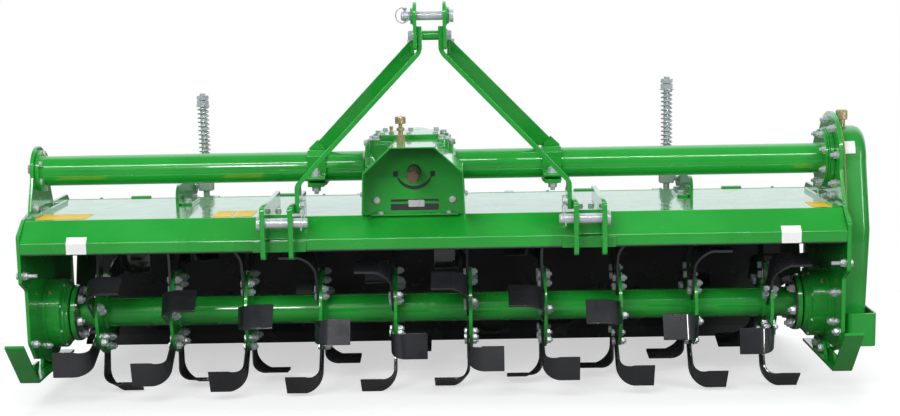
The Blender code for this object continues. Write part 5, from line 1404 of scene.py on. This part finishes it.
@dataclass
class Rotor:
    """The rotor: its tube, end flanges, and ten green discs with bolted black blades."""

    first: float = INNER[0] + 0.168
    pitch: float = (INNER[1] - INNER[0] - 0.168 - 0.178) / 9
    count: int = 10
    disc_radius: float = 0.125
    disc_thick: float = 0.010
    start: float = 61.0
    twist: float = 12.0
    tilt: float = 30.0
    tube_radius: float = 0.0445
    ends: Point = (INNER[0] + 0.0783, INNER[1] - 0.0783)
    end_radius: float = 0.086
    blade_thick: float = 0.008
    face_radius: float = 0.2372
    wing_half: float = 0.038
    wing_reach: float = 0.105
    bend: float = 0.045
    root_half: float = 0.024
    sweep: float = 0.030

    def build(self) -> None:
        """Builds the rotor's pieces."""
        self.tube()
        bolts = Stock("blade_bolts")
        for index in range(self.count):
            self.disc(index, bolts)
        bolts.done("rotor", ZINC)

    def tube(self) -> None:
        """The tube with its welded end flanges and their dark bolt rings."""
        low, high = self.ends
        tube, rings, bolts = Stock("rotor_body"), Stock("rotor_end_rings"), Stock("rotor_end_bolts")
        wall, stub, weld = 0.014, 0.025, 0.006
        half = [(0.012, -0.05), (stub, -0.05), (stub, 0.0), (self.end_radius, 0.0), (self.end_radius, wall),
                (self.tube_radius + weld, wall), (self.tube_radius, wall + weld)]
        profile = [*moved(half, up=(low, 1)), *moved(half[::-1], up=(high, -1))]
        tube.turned(YZ, (0.0, *ROTOR), profile, segments=120, ease=0.0008)
        for end, out in ((low + wall, 1), (high - wall, -1)):
            ring = moved([(0.0462, -0.0004), (0.0848, -0.0004), (0.0836, 0.006), (0.0462, 0.006)],
                         up=(0.0, out))
            rings.turned(YZ, (end, *ROTOR), ring, segments=96, ease=0.001)
            for spot in circle(ROTOR, 0.066, 6, 12.0):
                bolts.nut((end + 0.006 * out, *spot), (out, 0, 0), M14, tail=0.5)
        tube.done("rotor", GREEN, "rotor_tube")
        rings.done("rotor", BLACK)
        bolts.done("rotor", ZINC)

    def rows(self, hand: int) -> list[tuple[float, ...]]:
        """Rows of a blade from its root to the wing's end.

        Args:
            hand: which way its wing is bent, -1 or 1.

        Returns:
            For each row: sideways, out from the axis, trailing, half width, how far it is ground, its tilt.
        """
        face = self.face_radius - self.blade_thick / 2
        start = face - self.bend
        rows = []
        for step in range(7):
            share = step / 6
            out = 0.070 + (start - 0.070) * share
            trail = -self.sweep * (1 - 0.65 * share ** 1.5)
            half = self.root_half + (self.wing_half - self.root_half) * 0.50 * share ** 2
            rows.append((0.0, out, trail, half, 0.3 * share ** 2, 0.0))
        for step in range(1, 11):
            turn = math.pi / 2 * step / 10
            share = step / 10
            rows.append((hand * self.bend * (1 - math.cos(turn)), start + self.bend * math.sin(turn),
                         -self.sweep * 0.35 * (1 - share),
                         self.root_half + (self.wing_half - self.root_half) * (0.50 + 0.50 * share),
                         0.3 + 0.5 * share, math.radians(self.tilt * share)))
        for share in (0.5, 0.97, 1.0):
            rows.append((hand * (self.bend + (self.wing_reach - self.bend) * share), face, 0.0,
                         self.wing_half - (0.0012 if share == 1.0 else 0.0), 0.8, math.radians(self.tilt)))
        return rows

    def blade(self, stock: Stock, hand: int, place: Matrix) -> None:
        """Adds a bent blade whose leading edge is ground to a bevel.

        Args:
            stock: the piece being gathered.
            hand: which way its wing is bent.
            place: where its root stands.
        """
        rows = self.rows(hand)
        half, rim = self.blade_thick / 2, 0.0011
        rings = []
        for index, (side, out, trail, wide, ground, tilt) in enumerate(rows):
            before, after = rows[max(index - 1, 0)], rows[min(index + 1, len(rows) - 1)]
            along = Vector((after[0] - before[0], 0.0, -(after[1] - before[1]))).normalized()
            aside = Vector((0.0, math.cos(tilt), -math.sin(tilt)))
            normal = along.cross(aside).normalized() * hand
            lead = wide - rim
            section = [(-lead + ground * 0.012, half), (lead, half), (lead + rim * 0.7, half - rim * 0.3),
                       (wide, half - rim), (wide, -half + rim), (lead + rim * 0.7, -half + rim * 0.3),
                       (lead, -half), (-lead, -half), (-wide, -half + rim * 0.7),
                       (-wide, -half + (2 * half - rim) * (1 - ground))]
            centre = Vector((side, -trail, -out))
            rings.append([centre + aside * across + normal * up for across, up in section])
        stock.skin(rings, place=place)

    def disc(self, index: int, bolts: Stock) -> None:
        """A green disc, its six blades, and two bolts through each.

        Args:
            index: which disc, from the left.
            bolts: the fasteners being gathered.
        """
        x = self.first + self.pitch * index
        number = "%02d" % (index + 1)
        plate, blades = Stock("disc_flange_" + number), Stock("disc_blades_" + number)
        half = self.disc_thick / 2
        plate.slab(YZ, circle(ROTOR, self.disc_radius, 96), x - half, x + half,
                   holes=[circle(ROTOR, self.tube_radius + SEAT, 48)], edge=0.0012)
        for out in (-1, 1):
            weld = moved([(0.0447, -0.0003), (0.0510, -0.0003), (0.0447, 0.006)], up=(0.0, out))
            plate.turned(YZ, (x + out * half, *ROTOR), weld, segments=72)
        blade_x = x - half - self.blade_thick / 2 + 0.0005
        for blade in range(6):
            turn = math.radians(self.start + 60.0 * blade - self.twist * index)
            place = Matrix.Translation((blade_x, *ROTOR)) @ Matrix.Rotation(-turn, 4, "X")
            self.blade(blades, -1 if blade % 2 == 0 else 1, place)
            for out, trail in ((0.083, 0.027), (0.112, 0.024)):
                head = place @ Vector((-self.blade_thick / 2, trail, -out))
                tail = place @ Vector((self.blade_thick / 2 + self.disc_thick - 0.0005, trail, -out))
                bolts.bolt(head, (-1, 0, 0), M12, washer=False)
                bolts.nut(tail, (1, 0, 0), M12, tail=0.45)
        plate.done("rotor", GREEN)
        blades.done("rotor", BLACK, "blade_disc_" + number)


@dataclass
class RearBoard:
    """The trailing board with knuckles, ribs, shoe and lugs, and the bar that it hangs from."""

    hinge: Point = (0.248, 0.562)
    low: float = INNER[0] + 0.008
    high: float = INNER[1] - 0.008
    sheet: float = 0.005
    folds: tuple[Point, ...] = ((0.2605, 0.552), (0.420, 0.375), (0.548, 0.190), (0.626, 0.040))
    rib_deep: float = 0.034
    plates: Point = (LEFT_PLATE[0], RIGHT_PLATE[1])
    rods: Point = RODS_X
    rod_y: float = 0.335
    eye_z: float = 0.495

    def build(self) -> None:
        """Builds the board and its hinge bar."""
        self.board()
        self.bar()

    def board(self) -> None:
        """The folded sheet with its ribs, shoe, knuckles, lugs and fasteners."""
        board, bolts = Stock("trailing_board"), Stock("trailing_board_bolts")
        board.slab(YZ, sheet_outline(list(self.folds), self.sheet, 0.030), self.low, self.high, edge=0.0009)
        board.slab(YZ, rounded(oblong(0.621, 0.639, 0.0, 0.060), 0.006), self.low, self.high, edge=0.002)
        reach = self.high - self.low - 0.180
        # End wings that close the gap to the side plates
        core = sheet_outline(list(self.folds), self.sheet / 2)[len(self.folds):][::-1]
        start = Vector(core[0]).lerp(Vector(core[1]), 0.30)
        for low in (self.low, self.high - 0.005):
            board.slab(YZ, [tuple(start), core[1], core[2], (0.256, 0.292), (0.284, 0.382)], low,
                       low + 0.005, edge=0.0008)
        for number in range(4):
            x = self.low + 0.090 + reach * number / 3
            path = [*self.folds[:3], (self.folds[3][0], self.folds[3][1] + 0.010)]
            outline = sheet_outline(rounded(path, 0.030, closed=False), -self.rib_deep)
            board.slab(YZ, rounded(outline, 0.008, steps=3), x - 0.004, x + 0.004, edge=0.001)
            for shift in (0.035, -0.035):
                bolts.bolt((x + shift, 0.639, 0.032), REARWARD, M12)
        step = (INNER[1] - INNER[0]) / 5
        for number in range(5):
            x = INNER[0] + step * (number + 0.5)
            board.turned(YZ, (x, *self.hinge), oblong(0.0108, 0.018, -0.030, 0.030), segments=48,
                         ease=0.0012)
            strap = [(self.hinge[0] + 0.004, self.hinge[1] - 0.0195),
                     (self.hinge[0] + 0.0245, self.hinge[1] + 0.004), (0.345, 0.470), (0.330, 0.462)]
            board.slab(YZ, rounded(strap, 0.003), x - 0.022, x + 0.022, edge=0.001)
            for shift in (-0.012, 0.012):
                bolts.bolt((x + shift, 0.318, 0.4985), (0, 0.743, 0.669), M8)
        for rod in self.rods:
            for sign in (-1, 1):
                near, far = rod + sign * 0.016, rod + sign * 0.024
                lug = [*arc((self.rod_y, self.eye_z), 0.0150, -40.0, 150.0, 20), (0.305, 0.512),
                       (0.380, 0.415)]
                board.slab(YZ, lug, near, far, edge=0.001)
                bolts.bolt((rod + sign * 0.024, self.rod_y, self.eye_z), (sign, 0, 0), M14, washer=False)
            board.turned(YZ, (rod, self.rod_y, self.eye_z), oblong(0.0, 0.0075, -0.020, 0.020), segments=32)
        # The board's forward face below the hood carries painted shade
        board.done("rear_board", BOARD_GREEN_PAINTED_SHADE, "rear_board")
        bolts.done("rear_board", ZINC)

    def bar(self) -> None:
        """The hinge bar with its lugs, and a cap on each of its ends."""
        bar, pins = Stock("hinge_rod"), Stock("hinge_rod_ends")
        low, high = self.plates
        bar.turned(YZ, (0.0, *self.hinge), oblong(0.0, 0.010, low, high), segments=48, ease=0.001)
        step = (INNER[1] - INNER[0]) / 5
        for number in range(1, 5):
            x = INNER[0] + step * number
            lug = [(0.2253, self.hinge[1] - 0.012), (0.2253, self.hinge[1] + 0.012),
                   *arc(self.hinge, 0.0145, 75, -75, 12)]
            bar.slab(YZ, lug, x - 0.015, x + 0.015, edge=0.0012)
        bar.done("frame", GREEN, "board_hinge_bar")
        cap = [(0.0, -0.0004), (0.016, -0.0004), (0.016, 0.003), (0.0095, 0.0032), (0.0085, 0.008),
               (0.0, 0.0085)]
        for end, out in zip(self.plates, (-1, 1)):
            pins.turned(YZ, (end, *self.hinge), moved(cap, up=(0.0, out)), segments=40)
        pins.done("frame", ZINC)


@dataclass
class SpringRods:
    """The two spring rods: brackets, swivels, coil springs on cups, threaded rods with nuts and eyes."""

    xs: Point = RODS_X
    y: float = 0.335
    swivel_z: float = 0.600
    swivel_half: float = 0.018
    deck: float = DECK
    hood_rear: float = 0.225
    bracket_out: float = 0.037
    rod_radius: float = 0.010
    eye_z: float = 0.495
    spring_radius: float = 0.019
    wire: float = 0.0025
    pitch: float = 0.0136
    turns: tuple[int, int] = (17, 19)
    chords: int = 22

    def build(self) -> None:
        """Builds both rods."""
        bolts = Stock("spring_bracket_bolts")
        for side, x, turns in zip(Side, self.xs, self.turns):
            self.bracket(side, x, bolts)
            self.swivel(side, x)
            self.spring(side, x, turns)
            self.rod(side, x, turns)
        bolts.done("frame", ZINC)

    def bracket(self, side: Side, x: float, bolts: Stock) -> None:
        """The bracket plate on the deck, with its foot and bolts.

        Args:
            side: its side.
            x: the rod's middle.
            bolts: the fasteners being gathered.
        """
        plate_x = x + side.value * self.bracket_out
        top = self.deck + 0.0617
        outline = [(self.hood_rear, self.deck), (0.040, self.deck),
                   *arc((0.080, top - 0.040), 0.040, 180.0, 90.0, 16),
                   *arc((self.y, self.swivel_z), 0.030, 70.0, -80.0, 24)]
        plate = Stock("rod_bracket_" + side.word)
        plate.slab(YZ, outline, plate_x - 0.005, plate_x + 0.005,
                   holes=[circle((self.y, self.swivel_z), 0.0128, 40)], edge=0.0014)
        foot = sorted((plate_x - side.value * 0.004, plate_x - side.value * 0.042))
        plate.block((foot[0], 0.052, self.deck - 0.0002), (foot[1], 0.200, self.deck + 0.006), corner=0.006)
        plate.done("frame", GREEN, "spring_bracket_" + side.word)
        for along in (0.075, 0.175):
            bolts.bolt((plate_x - side.value * 0.026, along, self.deck + 0.006), UP, M12)

    def swivel(self, side: Side, x: float) -> None:
        """The swivel block with its trunnion."""
        block = Stock("rod_swivel_" + side.word)
        sign = side.value
        half = self.swivel_half
        block.block((x - 0.023, self.y - half, self.swivel_z - half),
                    (x + 0.023, self.y + half, self.swivel_z + half), corner=0.004, plane=YZ, edge=0.003)
        end = x + sign * (self.bracket_out + 0.013)
        root = x + sign * 0.015
        trunnion = [(0.0, root), (0.012, root), (0.012, end - sign * 0.0015), (0.0105, end), (0.0, end)]
        block.turned(YZ, (0.0, self.y, self.swivel_z), trunnion, segments=40)
        block.done("swivel_" + side.word, ZINC, "spring_swivel_" + side.word)

    def spring(self, side: Side, x: float, turns: int) -> None:
        """The fine coil spring and the cup washer that it stands on."""
        coil = Stock("rod_spring_" + side.word)
        base = self.swivel_z + self.swivel_half + SEAT + self.wire
        reach = self.spring_radius - self.wire
        points = []
        for step in range(turns * self.chords + 1):
            turn = 2 * math.pi * step / self.chords
            points.append((x + reach * math.cos(turn), self.y + reach * math.sin(turn),
                           base + self.pitch * step / self.chords))
        coil.wire(points, self.wire, sides=10)
        cup = [(0.0115, 0.0), (0.0225, 0.0), (0.0225, 0.0022), (0.0150, 0.0026), (0.0148, 0.010),
               (0.0115, 0.010)]
        coil.turned(XY, (x, self.y, self.swivel_z + self.swivel_half), cup, segments=48)
        coil.done("swivel_" + side.word, ZINC, "spring_" + side.word)

    def rod(self, side: Side, x: float, turns: int) -> None:
        """The rod with its threaded top, washer, nut, lock nut and welded eye."""
        rod = Stock("rod_stem_" + side.word)
        r = self.rod_radius
        nut_low = self.swivel_z + self.swivel_half + SEAT + 2 * self.wire + turns * self.pitch + SEAT
        at = facing((x, self.y, 0.0), UP)
        rod.turned(XY, (x, self.y, 0.0), oblong(0.0, r, self.eye_z + 0.010, nut_low + 0.004), segments=32)
        rod.thread(at, r, nut_low + 0.002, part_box("spring_rod_" + side.word)[1].z, pitch=0.0025)
        rod.turned(XY, (x, self.y, nut_low), oblong(0.0, 0.0225, 0.0, 0.003), segments=40, ease=0.0006)
        rod.hexagon(at, 0.0335, nut_low + 0.003, nut_low + 0.020)
        rod.hexagon(at, 0.0335, nut_low + 0.0215, nut_low + 0.036)
        rod.turned(YZ, (x, self.y, self.eye_z), oblong(0.0105, 0.0150, -0.010, 0.010), segments=48,
                   ease=0.0012)
        rod.done("rod_" + side.word, ZINC, "spring_rod_" + side.word)


@dataclass
class Labels:
    """Blank labels and stickers on the hood, the deck and the case."""

    deck: float = DECK - SEAT
    front: float = -0.275
    whites: tuple[Point, Point] = ((-1.080, -1.022), (0.9556, 1.0116))
    yellows: tuple[Triple, ...] = ((-1.190, -1.040, -0.100), (-0.673, -0.617, -0.085),
                                                       (-0.612, -0.556, -0.085), (1.060, 1.125, -0.095))

    def build(self) -> None:
        """Builds the stickers."""
        white, yellow = Stock("blank_stickers"), Stock("blank_yellow_labels")
        slope = Vector((-0.213 - self.front, self.deck - 0.516)).normalized()
        foot = Vector((self.front, 0.516)) + Vector((-slope.y, slope.x)) * 0.0004
        path = [(self.front - 0.0005, 0.484), (self.front - 0.0005, 0.5162), tuple(foot + slope * 0.022)]
        for low, high in self.whites:
            white.slab(YZ, sheet_outline(rounded(path, 0.008, closed=False), 0.0006), low, high,
                       edge=0.0002)
        # A blank label round the gear case's front
        inner = span("gear_case")[0]
        around = arc(TUBE, 0.0962, 144.4, 167.0, 10)
        white.slab(YZ, sheet_outline(around, 0.0006), inner + 0.0120, inner + 0.0450, edge=0.0002)
        for low, high, rear in self.yellows:
            yellow.block((low, -0.197, self.deck + 0.0002), (high, rear, self.deck + 0.0007),
                         corner=0.003, edge=0.0002)
        white.done("frame", WHITE)
        yellow.done("frame", YELLOW)


@dataclass
class Studio:
    """The floor, the soft lights, the pale surroundings and the camera at the photograph's angle."""

    focal: float = 58.0
    place: Triple = (0.0766, -4.335, 1.20)
    pitch: float = 8.4
    yaw: float = 0.83
    roll: float = 1.08
    floor_half: float = 9.0
    floor_seen: float = 1.45
    floor_back: float = 0.20
    soft: float = 0.20
    aim: Triple = (0.0, 0.0, 0.4)
    mirrored: tuple[str, ...] = ("strip", "spark", "side")

    def build(self) -> None:
        """Builds the studio."""
        self.floor()
        self.world()
        self.lights()
        self.camera()

    def floor(self) -> None:
        """A plain pale floor with soft shadows, which turns white far from the machine."""
        mesh = bpy.data.meshes.new("studio_floor")
        half = self.floor_half
        mesh.from_pydata([(*corner, 0) for corner in oblong(-half, half, -half, half)], [], [(0, 1, 2, 3)])
        floor = stood("studio_floor", mesh)
        finish = bpy.data.materials.new("studio_floor")
        finish.use_nodes = True
        nodes = Nodes(finish.node_tree)
        finish.node_tree.nodes.clear()
        place = nodes.add("NewGeometry").outputs["Position"]
        reach = nodes.add("VectorMath", {0: place}, operation="LENGTH").outputs["Value"]
        path = nodes.add("LightPath")
        seen, back = self.floor_seen, self.floor_back
        tone = nodes.mixed(path.outputs["Is Camera Ray"], (back, back, back, 1.0), (seen, seen, seen, 1.0))
        plain = nodes.add("BsdfDiffuse", {"Color": tone})
        white = nodes.add("Emission", {"Color": PURE_WHITE, "Strength": 1.0})
        far = nodes.ramp(reach, 1.1, 2.2, 0.55, 1.0)
        share = nodes.product(path.outputs["Is Camera Ray"], far)
        mix = nodes.add("MixShader", {0: share, 1: plain.outputs[0], 2: white.outputs[0]})
        nodes.add("OutputMaterial", {"Surface": mix.outputs[0]})
        mesh.materials.append(finish)

    def world(self) -> None:
        """Surroundings: white to the camera, dark before and white behind in reflections, soft as light."""
        world = bpy.data.worlds.new("studio_surroundings")
        world.use_nodes = True
        world.node_tree.nodes.clear()
        nodes = Nodes(world.node_tree)
        path = nodes.add("LightPath")
        way = nodes.add("SeparateXYZ", {0: nodes.add("TexCoord").outputs["Generated"]})
        glow = nodes.ramp(way.outputs["Y"], 0.10, 0.60, 0.10, 1.1)
        light = nodes.add("Mix", {"Factor": path.outputs["Is Glossy Ray"], "A": self.soft, "B": glow},
                          data_type="FLOAT")
        soft = nodes.add("Background", {"Color": (0.90, 0.95, 1.0, 1), "Strength": light.outputs[0]})
        white = nodes.add("Background", {"Color": PURE_WHITE, "Strength": 1.0})
        both = nodes.add("Math", {0: path.outputs["Is Camera Ray"], 1: path.outputs["Is Transmission Ray"]},
                         operation="MAXIMUM")
        mix = nodes.add("MixShader", {0: both.outputs[0], 1: soft.outputs[0], 2: white.outputs[0]})
        nodes.add("OutputWorld", {"Surface": mix.outputs[0]})
        bpy.context.scene.world = world

    def lights(self) -> None:
        """Large soft lamps above, before and beside the machine, and a long thin one for its edges."""
        for name, spot, size, slim, power in (
                ("key", (-1.8, -4.4, 2.6), 2.8, 2.8, 105.0), ("fill", (2.8, -3.6, 2.0), 2.4, 2.4, 42.0),
                ("spark", (-1.2, -4.2, 2.0), 0.5, 0.5, 16.0), ("side", (3.3, -3.2, 1.3), 0.22, 2.0, 28.0),
                ("top", (0.0, 0.4, 4.0), 3.6, 3.6, 85.0), ("back", (0.6, 4.0, 3.0), 3.0, 3.0, 40.0),
                ("strip", (0.0, -3.4, 3.2), 5.0, 0.12, 50.0)):
            lamp = bpy.data.lights.new("studio_" + name, "AREA")
            lamp.shape, lamp.size, lamp.size_y, lamp.energy = "RECTANGLE", size, slim, power
            light = stood("studio_" + name, lamp)
            aim = Vector(spot) - Vector(self.aim)
            light.visible_glossy = name in self.mirrored
            light.matrix_world = Matrix.Translation(spot) @ aim.to_track_quat("Z", "Y").to_matrix().to_4x4()

    def camera(self) -> None:
        """The camera, 58 mm on a 36 mm frame, looking slightly down and rolled as the photograph is."""
        lens = bpy.data.cameras.new("studio_camera")
        lens.sensor_width, lens.lens, lens.sensor_fit = 36.0, self.focal, "HORIZONTAL"
        camera = stood("studio_camera", lens)
        x, y, z = self.place
        place = Matrix.Translation((x, y + AXIS_Y, z))
        for degrees, axis in ((self.yaw, "Z"), (90 - self.pitch, "X"), (-self.roll, "Z")):
            place = place @ Matrix.Rotation(math.radians(degrees), 4, axis)
        camera.matrix_world = place
        bpy.context.scene.camera = camera


def main() -> None:
    """Builds every sub-assembly in order, and then the studio."""
    logging.basicConfig(level=logging.INFO, format="%(message)s", stream=sys.stdout)
    for part in (Hood(), EndPlates(), GearCase(), TorqueTube(), GearBox(), PowerInput(), LowerHitch(),
                 Mast(), Skids(), Bearings(), Rotor(), RearBoard(), SpringRods(), Labels(), Studio()):
        LOG.info("building %s", type(part).__name__)
        part.build()
    view = bpy.context.scene.view_settings
    view.view_transform = "Standard"


if __name__ == "__main__":
    main()
